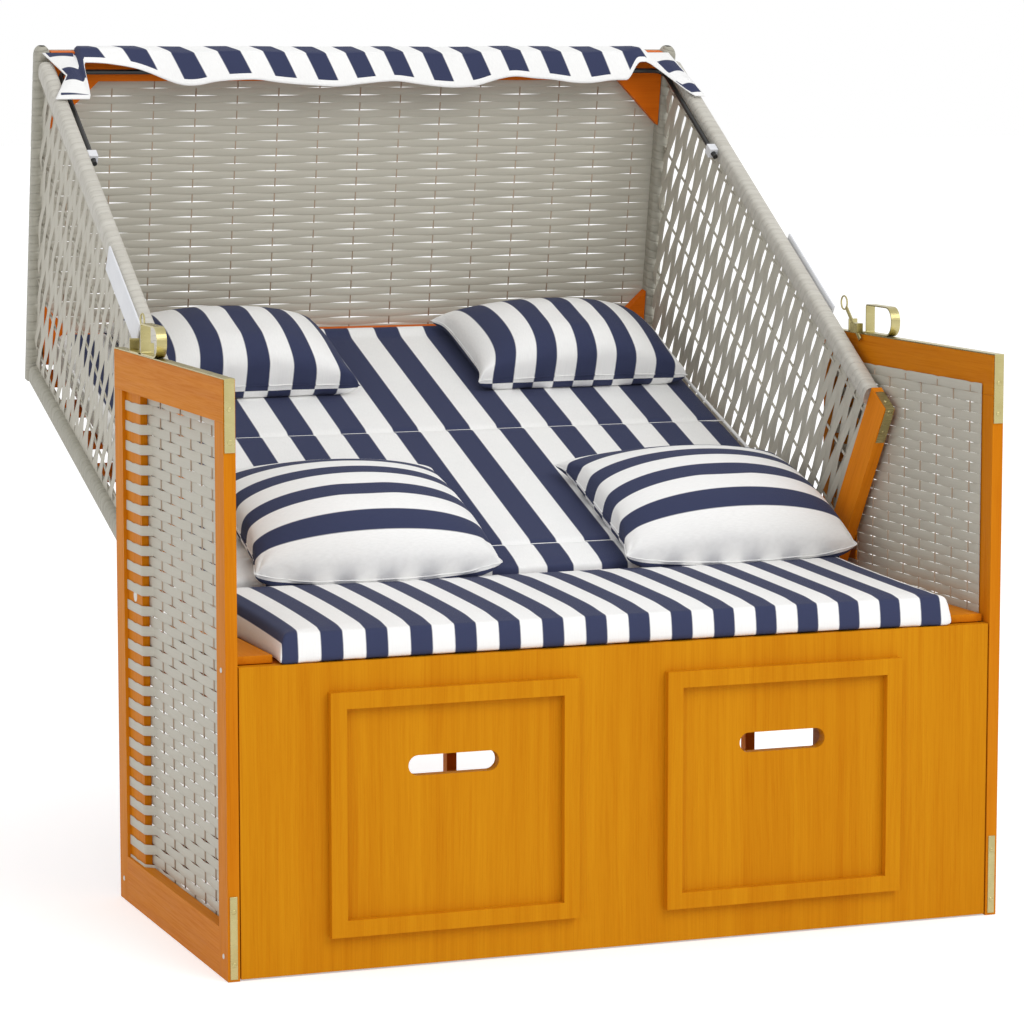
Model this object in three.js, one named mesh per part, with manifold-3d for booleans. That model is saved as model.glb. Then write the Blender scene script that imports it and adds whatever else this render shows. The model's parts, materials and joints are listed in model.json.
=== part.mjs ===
// Hooded beach chair: a wooden base with wicker sides, two pull-out footrests and a reclining
// wicker hood with its cushions and a folding awning. Millimetres, +Z up, the front faces -Y,
// +X is to the right of someone who looks at the front.
import * as THREE from 'three';
import { mergeVertices } from 'three/addons/utils/BufferGeometryUtils.js';
import Module from 'manifold-3d';

const wasm = await Module();
wasm.setup();

// Base: two side frames of flat boards
const baseWidth = 1110;
const baseDepth = 540;
const armrestHeight = 780;
const frameThickness = 16;
const stileWidth = 40;
const topRailHeight = 55;
const bottomRailHeight = 65;

// Clearances and small shared sizes
const seatGap = 0.3;
const runGap = 2;
const cutOverrun = 2;
const hoodSideClearance = 10;

// Wicker panels and the board that carries the hood's pivot
const wickerThickness = 3;
const wickerLap = 10;
const weaveSlotColumns = 12;
const weaveSlotRim = 8;
const hoodSlotLength = 54;
const hoodSlotWidth = 22;
const hoodSlotPitch = 68;
const wallSlotRows = 8;
const wallSlotLength = 66;
const wallSlotWidth = 8;
const pivotBoardWidth = 75;
const pivotBoardThickness = 10;
const pivotRise = 32;

// Seat and front
const panelTop = 410;
const panelThickness = 16;
const panelFootGap = 2;
const panelSetback = 1;
const seatToPivot = 119;
const seatBoardThickness = 18;
const seatBoardSideMargin = 9;
const seatBoardRearMargin = 3;
const seatRailHeight = 55;
const seatRailThickness = 20;
const seatCushionSideGap = 53;
const seatCushionThickness = 46;
const seatCushionCrown = 6;
const sideDraw = 4;

// Pull-out footrests
const drawerCentreHeight = 210;
const mouldingWidth = 346;
const mouldingHeight = 323;
const mouldingBand = 22;
const mouldingProud = 12;
const mouldingLap = 8;
const slotLength = 126;
const slotHeight = 27;
const slotRise = 57;
const footBoxInset = 5;
const footBoxRearGap = 20;
const footBoxHeight = 287;
const footBoardThickness = 15;
const footBackHeight = 100;
const guideThickness = 15;
const guideLedge = 20;
const guideLedgeThickness = 12;
const guideWebHeight = 50;
const guidePostHeight = 290;
const guidePostDepth = 16;
const rearRailBottom = 30;
const rearRailHeight = 60;

// Brass fittings on the armrests
const strapWidth = 14;
const strapThickness = 1.5;
const strapFrontDrop = 95;
const strapRearDrop = 66;
const leverLength = 85;
const leverHeight = 43;
const leverStrip = 2;
const leverFrontRadius = 20;
const leverHingeRadius = 4;
const leverRearSetback = 138;
const bracketSetback = 80;
const bracketLength = 46;
const bracketTabHeight = 18;
const bracketEarLength = 24;
const bracketEarHeight = 14;
const pinLength = 66;
const pinWidth = 6;
const pinThickness = 2;
const pinAngle = THREE.MathUtils.degToRad(43);
const pinBelowEar = 18;
const pinRingRadius = 10;
const pinRingWire = 1.3;

// Pivot bolts
const boltRadius = 5;
const boltHeadRadius = 9;
const boltHeadThickness = 3;
const boltNutRadius = 8;
const boltNutThickness = 5.5;

// Hood: angles at rest, from the horizontal for the recline and from the backrest for the rest
const reclineAngle = THREE.MathUtils.degToRad(19.6);
const frontRailAngle = THREE.MathUtils.degToRad(12.6);
const postAngle = THREE.MathUtils.degToRad(80.2);
const boardAbovePivot = 300;
const boardWidth = 52;
const boardThickness = 16;
const tubeWidth = 30;
const tubeThickness = 24;
const tubeRounding = 9;
const postFootDistance = 765;
const postLength = 524;
const beamHeight = 45;
const beamThickness = 16;
const beamPostOffset = 2.3;
const topBeamDrop = 23;
const rearBeamRise = 10;
const topGussetLeg = 75;
const rearGussetLeg = 50;
const lowerBeamWidth = 36;
const slatCount = 7;
const slatWidth = 50;
const slatThickness = 8;
const slatStart = 20;
const battenWidth = 40;
const battenThickness = 10;
const battenSpacing = 380;

// Backrest cushion and pillows
const mattressSideGap = 12.5;
const mattressStart = -88;
const mattressLength = 838;
const mattressThickness = 50;
const mattressSeams = [77, 462];
const seamWidth = 22;
const seamDepth = 9;
const headPillowDepth = 245;
const headPillowThickness = 92;
const headPillowStart = 490;
const bigPillowDepth = 310;
const bigPillowThickness = 98;
const bigPillowOverhang = 27;
const pillowRim = 5;
const headPillowSeamRise = 5;
const bigPillowSeamRise = 16;

// Awning
const awningRodRadius = 4;
const awningArmInset = 7;
const awningPivotAlong = 690;
const awningArmLength = 232;
const awningArmTail = 18;
const awningCornerRadius = 20;
const clipLength = 16;
const clipHeight = 15;
const clipInset = 7;
const clipPinRadius = 3;
const clipPinLength = 12;
const clothThickness = 3;
const clothOverhang = 7;
const valanceDrop = 20;
const archRise = 8;
const waveHeight = 8;
const waveLength = 270;
const flapLift = 3;
const flapGap = 6;
const flapReach = 118;
const archWidth = 75;
const flapInset = 22;

// Facets, and shares that shape the cushions and cloth
const roundSegments = 24;
const boardEndSegments = 12;
const bendSegments = 6;
const tubeCornerSegments = 4;
const rodSides = 8;
const ringSides = 6;
const ringSegments = 20;
const mergeDistance = 1e-4;
const seatCushionGrid = [22, 9];
const mattressGrid = [14, 26];
const pillowGrid = [14, 10];
const clothGrid = [60, 12];
const drawerShares = [-0.227, 0.211];
const headPillowShares = [-0.238, 0.302];
const headPillowWidthShare = 0.366;
const bigPillowShares = [-0.2317, 0.3129];
const bigPillowWidthShare = 0.358;
const seatEdgeShares = [0.04, 0.12];
const mattressEdgeShares = [0.035, 0.05];
const seamLineShare = 0.35;
const undersideShare = 0.25;
const pillowPullShares = [0.055, 0.077];
const pillowFullness = 0.62;
const pillowUndersideFullness = 0.4;

// Places worked out from the sizes above
const frameInner = baseWidth / 2 - frameThickness;
const frameMiddle = baseWidth / 2 - frameThickness / 2;
const wickerOuter = frameInner - seatGap;
const wickerInner = wickerOuter - wickerThickness;
const hoodHalf = frameInner - hoodSideClearance;
const tubeInner = hoodHalf - tubeThickness;
const boardInner = hoodHalf - boardThickness;
const headPillowWidth = 2 * tubeInner * headPillowWidthShare;
const bigPillowWidth = 2 * tubeInner * bigPillowWidthShare;
const mattressWidth = 2 * (tubeInner - mattressSideGap);
const awningArmX = tubeInner - awningArmInset;
const clothHalfWidth = hoodHalf + clothOverhang;
const panelHalf = frameInner - runGap;
const panelBack = panelSetback + panelThickness;
const pivotBoardRear = baseDepth - stileWidth - seatGap;
const pivotY = pivotBoardRear - pivotBoardWidth / 2;
const pivotBoardOuter = frameInner + seatGap + pivotBoardThickness;
const pivotHeight = panelTop + pivotRise;
const seatBoardTop = panelTop - seatGap;
const seatRailTop = seatBoardTop - seatBoardThickness - seatGap;
const seatRailOuter = wickerInner - seatGap;
const seatDepth = pivotY - seatToPivot;
const seatBoardRear = seatDepth - seatBoardRearMargin;
const seatCushionWidth = 2 * (wickerInner - seatCushionSideGap);
const openingWidth = mouldingWidth - 2 * mouldingLap;
const openingHeight = mouldingHeight - 2 * mouldingLap;
const footBoxWidth = openingWidth - 2 * footBoxInset;
const openingBottom = drawerCentreHeight - openingHeight / 2;
const ledgeTop = openingBottom + seatGap;
const footBoxBottom = ledgeTop + seatGap;
const footBoxDepth = seatBoardRear - seatRailThickness - footBoxRearGap - panelBack - seatGap;
const guideInner = footBoxWidth / 2 + runGap;
const guideRear = baseDepth - stileWidth;
const strapTop = armrestHeight + seatGap + strapThickness;

// Materials, one for each finish of the real chair
const material = (color, roughness, metalness = 0) =>
  new THREE.MeshStandardMaterial({ color, roughness, metalness });
const frameWood = material(0xc07a28, 0.55);
const panelWood = material(0xcc8820, 0.5);
const innerWood = material(0xa8641e, 0.65);
const wicker = material(0xaaa496, 0.6);
const wrappedWicker = material(0xb4afa2, 0.6);
const stripedCloth = material(0xd8dae2, 0.9);
const pillowCloth = material(0xd0d3de, 0.9);
const awningStripes = material(0xd4d7e0, 0.85);
const brass = material(0xc8bc78, 0.35, 1);
const steel = material(0xb8b8b4, 0.35, 1);
const blackSteel = material(0x141414, 0.4, 1);
const whitePlastic = material(0xececea, 0.45);

// Mesh helpers
function mesh(name, geometry, finish, x = 0, y = 0, z = 0) {
  const made = new THREE.Mesh(geometry, finish);
  made.name = name;
  made.position.set(x, y, z);
  return made;
}

const sideName = (side) => (side < 0 ? 'left' : 'right');

// A box between two corners
function block(low, high) {
  const size = high.map((value, axis) => value - low[axis]);
  const made = new THREE.BoxGeometry(...size);
  made.translate(...low.map((value, axis) => value + size[axis] / 2));
  return made;
}

// A box that is mirrored to the left or right side
function sideBlock(side, inner, outer, y0, y1, z0, z1) {
  const [x0, x1] = side < 0 ? [-outer, -inner] : [inner, outer];
  return block([x0, y0, z0], [x1, y1, z1]);
}

// An outline in the Y-Z plane, thickened along X around x = 0
function alongX(shape, width, curveSegments = bendSegments) {
  const made = new THREE.ExtrudeGeometry(shape, { depth: width, bevelEnabled: false, curveSegments });
  made.translate(0, 0, -width / 2);
  const turn = new THREE.Matrix4().makeBasis(
    new THREE.Vector3(0, 1, 0), new THREE.Vector3(0, 0, 1), new THREE.Vector3(1, 0, 0));
  return made.applyMatrix4(turn);
}

// An outline in the X-Z plane, thickened along Y from y0 to y1
function alongY(shape, y0, y1) {
  const made = new THREE.ExtrudeGeometry(shape,
    { depth: y1 - y0, bevelEnabled: false, curveSegments: boardEndSegments });
  made.rotateX(Math.PI / 2);
  return made.translate(0, y1, 0);
}

const shapeOf = (points) => new THREE.Shape(points.map(([a, b]) => new THREE.Vector2(a, b)));

function roundedRectangle(width, height, radius) {
  const w = width / 2;
  const h = height / 2;
  const r = Math.min(radius, w, h);
  const made = new THREE.Shape();
  made.moveTo(-w + r, -h).lineTo(w - r, -h).absarc(w - r, -h + r, r, -Math.PI / 2, 0);
  made.lineTo(w, h - r).absarc(w - r, h - r, r, 0, Math.PI / 2);
  made.lineTo(-w + r, h).absarc(-w + r, h - r, r, Math.PI / 2, Math.PI);
  made.lineTo(-w, -h + r).absarc(-w + r, -h + r, r, Math.PI, -Math.PI / 2 + 2 * Math.PI);
  return made;
}

// A wrapped tube of rounded section, from a point in the Y-Z plane and along an angle there
function tubeGeometry(length) {
  const section = roundedRectangle(tubeThickness, tubeWidth, tubeRounding);
  return new THREE.ExtrudeGeometry(section,
    { depth: length, bevelEnabled: false, curveSegments: tubeCornerSegments });
}

function tube(name, side, from, angle, length, geometry = tubeGeometry(length)) {
  const made = mesh(name, geometry, wrappedWicker, side * (hoodHalf - tubeThickness / 2), from[0], from[1]);
  made.rotation.x = angle - Math.PI / 2;
  return made;
}

// Joins and cuts on closed meshes
function solid(geometry) {
  const bare = new THREE.BufferGeometry();
  bare.setAttribute('position', geometry.getAttribute('position'));
  if (geometry.index) bare.setIndex(geometry.index);
  const merged = mergeVertices(bare, mergeDistance);
  return new wasm.Manifold(new wasm.Mesh({
    numProp: 3,
    vertProperties: new Float32Array(merged.getAttribute('position').array),
    triVerts: new Uint32Array(merged.index.array),
  }));
}

function fromSolid(body) {
  const data = body.getMesh();
  const made = new THREE.BufferGeometry();
  made.setAttribute('position', new THREE.BufferAttribute(new Float32Array(data.vertProperties), 3));
  made.setIndex(new THREE.BufferAttribute(new Uint32Array(data.triVerts), 1));
  made.computeVertexNormals();
  return made;
}

const join = (...geometries) => fromSolid(geometries.map(solid).reduce((a, b) => a.add(b)));

const cut = (geometry, ...tools) =>
  fromSolid(tools.map(solid).reduce((a, b) => a.subtract(b), solid(geometry)));

// A cylinder along X between two places
function rodX(radius, x0, x1, y = 0, z = 0) {
  const made = new THREE.CylinderGeometry(radius, radius, Math.abs(x1 - x0), roundSegments);
  made.rotateZ(Math.PI / 2);
  return made.translate((x0 + x1) / 2, y, z);
}

// A closed padded form from two height fields over a grid, joined by a narrow rim
function paddedForm([columns, rows], place, top, bottom) {
  const at = (height) => (a, b) => [...place(a, b), height(a, b)];
  return closedGrid([columns, rows], at(top), at(bottom));
}

// Two skins over one grid, joined round their edge; each gives a point for a and b from -1 to 1
function closedGrid([columns, rows], front, back) {
  const positions = [];
  const index = [];
  const stride = columns + 1;
  const count = stride * (rows + 1);
  for (const skin of [front, back]) {
    for (let j = 0; j <= rows; j += 1) {
      for (let i = 0; i <= columns; i += 1) {
        positions.push(...skin((2 * i) / columns - 1, (2 * j) / rows - 1));
      }
    }
  }
  const quad = (p, q, r, s) => index.push(p, q, r, p, r, s);
  for (let j = 0; j < rows; j += 1) {
    for (let i = 0; i < columns; i += 1) {
      const at = j * stride + i;
      quad(at, at + 1, at + stride + 1, at + stride);
      quad(count + at, count + at + stride, count + at + stride + 1, count + at + 1);
    }
  }
  const ring = [];
  for (let i = 0; i < columns; i += 1) ring.push(i);
  for (let j = 0; j < rows; j += 1) ring.push(j * stride + columns);
  for (let i = columns; i > 0; i -= 1) ring.push(rows * stride + i);
  for (let j = rows; j > 0; j -= 1) ring.push(j * stride);
  ring.forEach((at, k) => {
    const next = ring[(k + 1) % ring.length];
    quad(count + at, count + next, next, at);
  });
  const made = new THREE.BufferGeometry();
  made.setAttribute('position', new THREE.Float32BufferAttribute(positions, 3));
  made.setIndex(index);
  made.computeVertexNormals();
  return made;
}

// Sides pull in by a few millimetres between the corners
const drawIn = (a) => sideDraw * (1 - a * a);

// How full a pad is: 0 at its edge and 1 inside, rising over a share of the half width
const swell = (a, share) => Math.sqrt(Math.max(0, 1 - Math.max(0, (Math.abs(a) - 1 + share) / share) ** 2));

// Base: side frames
function sideFrame(side) {
  const railZ = armrestHeight - topRailHeight;
  const outer = baseWidth / 2;
  const at = (name, y0, y1, z0, z1) =>
    mesh(`${name}_${sideName(side)}`, sideBlock(side, frameInner, outer, y0, y1, z0, z1), frameWood);
  return [
    at('front_stile', 0, stileWidth, 0, railZ - seatGap),
    at('rear_stile', baseDepth - stileWidth, baseDepth, 0, railZ - seatGap),
    at('armrest_rail', 0, baseDepth, railZ, armrestHeight),
    at('bottom_rail', stileWidth + seatGap, baseDepth - stileWidth - seatGap, 0, bottomRailHeight),
  ];
}

// Upright board behind the base wicker; the hood's bolt passes through it, its head sunk in
function pivotBoard(side) {
  const body = sideBlock(side, frameInner + seatGap, pivotBoardOuter,
    pivotBoardRear - pivotBoardWidth, pivotBoardRear,
    bottomRailHeight + seatGap, armrestHeight - topRailHeight - seatGap);
  const hole = rodX(boltRadius + seatGap, side * (frameInner - cutOverrun),
    side * (pivotBoardOuter + cutOverrun), pivotY, pivotHeight);
  const sink = rodX(boltHeadRadius + seatGap, side * (pivotBoardOuter - boltHeadThickness - seatGap),
    side * (pivotBoardOuter + cutOverrun), pivotY, pivotHeight);
  return mesh(`pivot_board_${sideName(side)}`, cut(body, hole, sink), frameWood);
}

function baseWicker(side) {
  const body = sideBlock(side, wickerInner, wickerOuter,
    stileWidth - wickerLap, baseDepth - stileWidth + wickerLap,
    bottomRailHeight - wickerLap, armrestHeight - topRailHeight + wickerLap);
  const hole = rodX(boltRadius + seatGap, side * (wickerInner - cutOverrun),
    side * (wickerOuter + cutOverrun), pivotY, pivotHeight);
  return mesh(`base_wicker_${sideName(side)}`, cut(body, hole), wicker);
}

// Bolt with a sunk head outside and a nut inside the hood's lower board
function pivotBolt(side) {
  const nutEnd = boardInner - seatGap - boltNutThickness;
  const headStart = pivotBoardOuter - boltHeadThickness;
  const profile = [
    [0, nutEnd],
    [boltNutRadius, nutEnd],
    [boltNutRadius, boardInner - seatGap],
    [boltRadius, boardInner - seatGap],
    [boltRadius, headStart],
    [boltHeadRadius, headStart],
    [boltHeadRadius, pivotBoardOuter],
    [0, pivotBoardOuter],
  ].map(([r, x]) => new THREE.Vector2(r, x));
  const body = new THREE.LatheGeometry(profile, roundSegments);
  body.rotateZ(-side * Math.PI / 2);
  return mesh(`pivot_bolt_${sideName(side)}`, body, steel, 0, pivotY, pivotHeight);
}

// Base: front panel with the two footrest openings
function frontPanel() {
  const body = block([-panelHalf, panelSetback, panelFootGap], [panelHalf, panelBack, panelTop]);
  const openings = [-1, 1].map((side) => block(
    [drawerX(side) - openingWidth / 2, panelSetback - cutOverrun, openingBottom],
    [drawerX(side) + openingWidth / 2, panelBack + cutOverrun, openingBottom + openingHeight]));
  return mesh('front_panel', cut(body, ...openings), panelWood);
}

function drawerX(side) {
  return 2 * frameInner * drawerShares[side < 0 ? 0 : 1];
}

function seatStructure() {
  const boardHalf = frameInner - seatBoardSideMargin;
  const railLow = seatRailTop - seatRailHeight;
  const railHalf = seatRailOuter - seatRailThickness - seatGap;
  const front = panelBack + seatGap;
  const rear = baseDepth - stileWidth;
  const parts = [
    mesh('seat_board', block([-boardHalf, front, seatBoardTop - seatBoardThickness],
      [boardHalf, seatBoardRear, seatBoardTop]), innerWood),
    mesh('seat_rear_rail', block([-railHalf, seatBoardRear - seatRailThickness, railLow],
      [railHalf, seatBoardRear, seatRailTop]), innerWood),
    mesh('base_rear_rail', block([-wickerInner + seatGap, rear + seatGap, rearRailBottom],
      [wickerInner - seatGap, rear + seatGap + seatRailThickness, rearRailBottom + rearRailHeight]),
    innerWood),
  ];
  for (const side of [-1, 1]) {
    parts.push(mesh(`seat_side_rail_${sideName(side)}`,
      sideBlock(side, seatRailOuter - seatRailThickness, seatRailOuter, front, rear, railLow, seatRailTop),
      innerWood));
  }
  return parts;
}

// Runner for one side of a footrest: a ledge it slides on, a web beside it and a post at the back
function drawerGuide(drawerSide, side) {
  const x = drawerX(drawerSide);
  const low = ledgeTop - guideLedgeThickness;
  const front = panelBack + seatGap;
  const across = (inner, outer, y0, z0, z1) =>
    sideBlock(side, inner, outer, y0, guideRear, z0, z1).translate(x, 0, 0);
  const outer = guideInner + guideThickness;
  const body = join(
    across(guideInner - guideLedge, outer, front, low, ledgeTop),
    across(guideInner, outer, front, low, low + guideWebHeight),
    across(guideInner, outer, guideRear - guidePostDepth, low, low + guidePostHeight),
  );
  const place = side < 0 ? 'outer_left' : 'outer_right';
  return mesh(`footrest_guide_${sideName(drawerSide)}_${place}`, body, innerWood);
}

// Footrest: face with its hand slot, raised moulding and the box behind
function footrest(side) {
  const x = drawerX(side);
  const z = drawerCentreHeight;
  const name = sideName(side);
  const faceHalf = openingWidth / 2 - runGap;
  const faceHalfHeight = openingHeight / 2 - runGap;
  const face = shapeOf([[x - faceHalf, z - faceHalfHeight], [x + faceHalf, z - faceHalfHeight],
    [x + faceHalf, z + faceHalfHeight], [x - faceHalf, z + faceHalfHeight]]);
  const slot = new THREE.Path();
  const r = slotHeight / 2;
  const reach = slotLength / 2 - r;
  slot.absarc(x + reach, z + slotRise, r, -Math.PI / 2, Math.PI / 2);
  slot.absarc(x - reach, z + slotRise, r, Math.PI / 2, -Math.PI / 2 + 2 * Math.PI);
  face.holes.push(slot);
  const w = mouldingWidth / 2;
  const h = mouldingHeight / 2;
  const iw = w - mouldingBand;
  const ih = h - mouldingBand;
  const ring = shapeOf([[x - w, z - h], [x + w, z - h], [x + w, z + h], [x - w, z + h]]);
  ring.holes.push(shapeOf([[x - iw, z - ih], [x - iw, z + ih], [x + iw, z + ih], [x + iw, z - ih]]));
  return [
    mesh(`footrest_face_${name}`, alongY(face, panelSetback, panelBack), panelWood),
    mesh(`footrest_moulding_${name}`,
      alongY(ring, panelSetback - seatGap - mouldingProud, panelSetback - seatGap), panelWood),
    mesh(`footrest_box_${name}`, footBox(x), innerWood),
  ];
}

// Two side boards under a top board, tied by a low board at the back
function footBox(x) {
  const half = footBoxWidth / 2;
  const y0 = panelBack + seatGap;
  const y1 = y0 + footBoxDepth;
  const z0 = footBoxBottom;
  const z1 = z0 + footBoxHeight;
  const t = footBoardThickness;
  return join(
    block([-half, y0, z0], [-half + t, y1, z1]),
    block([half - t, y0, z0], [half, y1, z1]),
    block([-half, y0, z1 - t], [half, y1, z1]),
    block([-half, y1 - t, z0], [half, y1, z0 + footBackHeight]),
  ).translate(x, 0, 0);
}

// Seat cushion: flat underside, crowned top, drawn-in sides
function seatCushion() {
  const half = seatCushionWidth / 2;
  const deep = seatDepth / 2;
  const low = panelTop + seatGap;
  const edge = seatCushionThickness - seatCushionCrown;
  const place = (a, b) => [half * a * (1 - drawIn(b) / half), deep + deep * b * (1 - drawIn(a) / deep)];
  const full = (a, b) => swell(a, seatEdgeShares[0]) * swell(b, seatEdgeShares[1]);
  const top = (a, b) => low + edge * (seamLineShare + (1 - seamLineShare) * full(a, b))
    + seatCushionCrown * swell(a, 1) * swell(b, 1);
  const bottom = (a, b) => low + edge * undersideShare * (1 - full(a, b));
  return mesh('seat_cushion', paddedForm(seatCushionGrid, place, top, bottom), stripedCloth);
}

// Armrest strap: runs over the rail and folds down at both ends
function strapGeometry() {
  const t = strapThickness;
  const front = -seatGap;
  const rear = baseDepth + seatGap;
  const outline = shapeOf([
    [front - t, strapTop - strapFrontDrop], [front, strapTop - strapFrontDrop],
    [front, strapTop - t], [rear, strapTop - t], [rear, strapTop - strapRearDrop],
    [rear + t, strapTop - strapRearDrop], [rear + t, strapTop], [front - t, strapTop]]);
  return alongX(outline, strapWidth);
}

// Latch lever: a flat strip bent to a D, hinged at the centre of its rear lower bend
const leverRear = baseDepth - leverRearSetback;
const leverLow = strapTop + seatGap;

function leverOutline(inset) {
  const y0 = leverRear - leverLength + inset;
  const y1 = leverRear - inset;
  const z0 = leverLow + inset;
  const z1 = leverLow + leverHeight - inset;
  const big = leverFrontRadius - inset;
  const small = leverHingeRadius - inset;
  const points = new THREE.Shape();
  points.moveTo(y0 + big, z0).lineTo(y1 - small, z0).absarc(y1 - small, z0 + small, small, -Math.PI / 2, 0);
  points.lineTo(y1, z1 - small).absarc(y1 - small, z1 - small, small, 0, Math.PI / 2);
  points.lineTo(y0 + big, z1).absarc(y0 + big, z1 - big, big, Math.PI / 2, Math.PI);
  points.lineTo(y0, z0 + big).absarc(y0 + big, z0 + big, big, Math.PI, -Math.PI / 2 + 2 * Math.PI);
  return points;
}

function latchLever(side) {
  const outline = leverOutline(0);
  outline.holes.push(new THREE.Path(leverOutline(leverStrip).getPoints(bendSegments).reverse()));
  return mesh(`latch_lever_${sideName(side)}`, alongX(outline, strapWidth), brass, side * frameMiddle);
}

// Latch bracket on the strap: an upright tab and an ear that guides the locking pin
const bracketRear = baseDepth - bracketSetback;
const pinX = wickerInner - pinThickness / 2 - seatGap;
const earZ = leverLow + bracketEarHeight / 2;
const earY = bracketRear - bracketLength + bracketEarLength / 2;

function armrestStrap(side) {
  const y0 = bracketRear - bracketLength;
  const outer = frameMiddle + strapWidth / 2;
  const inner = frameMiddle - strapWidth / 2;
  const low = strapTop - strapThickness / 2;
  const earInner = pinX - pinThickness / 2 - seatGap - strapThickness;
  const slotCut = new THREE.BoxGeometry(pinThickness + 2 * seatGap, pinLength, pinWidth + 2 * seatGap);
  slotCut.rotateX(pinAngle);
  slotCut.translate(side * pinX, earY, earZ);
  const body = join(
    strapGeometry().translate(side * frameMiddle, 0, 0),
    sideBlock(side, inner, outer, y0, bracketRear, low, strapTop + strapThickness),
    sideBlock(side, inner, outer, bracketRear - strapThickness, bracketRear, low,
      leverLow + bracketTabHeight),
    sideBlock(side, earInner, inner + strapThickness, y0, y0 + bracketEarLength, strapTop,
      leverLow + bracketEarHeight),
  );
  return mesh(`armrest_strap_${sideName(side)}`, cut(body, slotCut), brass);
}

// Locking pin: a flat bar through the bracket's ear with a ring at its upper end
function lockingPin(side) {
  const bar = new THREE.BoxGeometry(pinThickness, pinLength, pinWidth);
  bar.translate(0, pinLength / 2 - pinBelowEar - pinWidth, 0);
  const ring = new THREE.TorusGeometry(pinRingRadius, pinRingWire, ringSides, ringSegments);
  ring.rotateY(Math.PI / 2);
  ring.translate(0, pinLength - pinBelowEar - pinWidth + pinRingRadius - pinRingWire, 0);
  const made = mesh(`locking_pin_${sideName(side)}`, join(bar, ring), brass, side * pinX, earY, earZ);
  made.rotation.x = pinAngle;
  return made;
}

// Hood lines in its own plane: y runs up the backrest, z stands square to it, the pivot is at 0
const railDir = [Math.cos(frontRailAngle), Math.sin(frontRailAngle)];
const railUp = [-railDir[1], railDir[0]];
const postDir = [Math.cos(postAngle), Math.sin(postAngle)];
const postFront = [-postDir[1], postDir[0]];
const onPlane = (origin, dir, along, up, across) =>
  [origin[0] + dir[0] * along + up[0] * across, origin[1] + dir[1] * along + up[1] * across];
const hoodNose = onPlane([0, 0], railUp, boardAbovePivot, railDir, -boardWidth / 2);
const postFoot = [postFootDistance, 0];
const onRail = (along, across) => onPlane(hoodNose, railDir, along, railUp, across);
const onPost = (along, across) => onPlane(postFoot, postDir, along, postFront, across);

// Where a line through p along d meets the line through q along e
function meet(p, d, q, e) {
  const scale = ((q[0] - p[0]) * e[1] - (q[1] - p[1]) * e[0]) / (d[0] * e[1] - d[1] * e[0]);
  return [p[0] + d[0] * scale, p[1] + d[1] * scale];
}

const distance = (p, q) => Math.hypot(q[0] - p[0], q[1] - p[1]);
const railStart = boardWidth + seatGap;
const postFaceAt = (across) => onPost(0, tubeWidth / 2 + across);
const railEnd = distance(onRail(0, -tubeWidth),
  meet(onRail(0, -tubeWidth), railDir, postFaceAt(seatGap), postDir));
const bottomRailStart = boardWidth / 2 / railDir[0] + (tubeWidth / 2) * (railDir[1] / railDir[0]) + seatGap;
const bottomRailEnd = meet([0, -tubeWidth / 2], [1, 0], postFaceAt(seatGap), postDir)[0];

function hoodFrontRail(side) {
  const length = railEnd - railStart;
  const pivotAlong = awningPivotAlong - railStart;
  const bore = rodX(clipPinRadius + seatGap, -side * (tubeThickness / 2 + cutOverrun),
    -side * (tubeThickness / 2 - clipPinLength - seatGap), 0, pivotAlong);
  return tube(`hood_front_rail_${sideName(side)}`, side, onRail(railStart, -tubeWidth / 2), frontRailAngle,
    length, cut(tubeGeometry(length), bore));
}

function hoodTubes(side) {
  const name = sideName(side);
  const foot = -tubeWidth / 2 / postDir[1];
  return [
    hoodFrontRail(side),
    tube(`hood_rear_post_${name}`, side, onPost(foot, 0), postAngle, postLength),
    tube(`hood_bottom_rail_${name}`, side, [bottomRailStart, 0], 0, bottomRailEnd - bottomRailStart),
  ];
}

// Bare board at the hood's front: its round end turns on the pivot bolt
function hoodBoard(side) {
  const r = boardWidth / 2;
  const shape = new THREE.Shape();
  const start = onPlane([0, 0], railUp, 0, railDir, -r);
  const far = onPlane([0, 0], railUp, boardAbovePivot, railDir, r);
  shape.moveTo(...hoodNose).lineTo(...start);
  shape.absarc(0, 0, r, Math.PI + frontRailAngle, 2 * Math.PI + frontRailAngle);
  shape.lineTo(...far);
  const hole = new THREE.Path();
  hole.absarc(0, 0, boltRadius + seatGap, 0, 2 * Math.PI, true);
  shape.holes.push(hole);
  return mesh(`hood_lower_board_${sideName(side)}`, alongX(shape, boardThickness, boardEndSegments),
    frameWood, side * (hoodHalf - boardThickness / 2));
}

// Whether a point lies inside a convex outline, given anticlockwise, clear of its rim
const insideRim = (corners, [a, b]) => corners.every(([fromA, fromB], k) => {
  const [toA, toB] = corners[(k + 1) % corners.length];
  const area = (toA - fromA) * (b - fromB) - (toB - fromB) * (a - fromA);
  return area / Math.hypot(toA - fromA, toB - fromB) >= weaveSlotRim;
});

// A convex plate with a plain grid of slots for the openings of its weave: each slot's long side
// runs along dir and its short side along up, and a slot that meets the plate's rim is left out
function slottedPlate(corners, thicken, centres, dir, up, length, width) {
  const slots = centres.map((centre) => [[-1, -1], [1, -1], [1, 1], [-1, 1]].map(([a, b]) =>
    onPlane(centre, dir, a * length / 2, up, b * width / 2)));
  const whole = slots.filter((slot) => slot.every((point) => insideRim(corners, point)));
  return cut(thicken(shapeOf(corners), 0), ...whole.map((slot) => thicken(shapeOf(slot), cutOverrun)));
}

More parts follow.
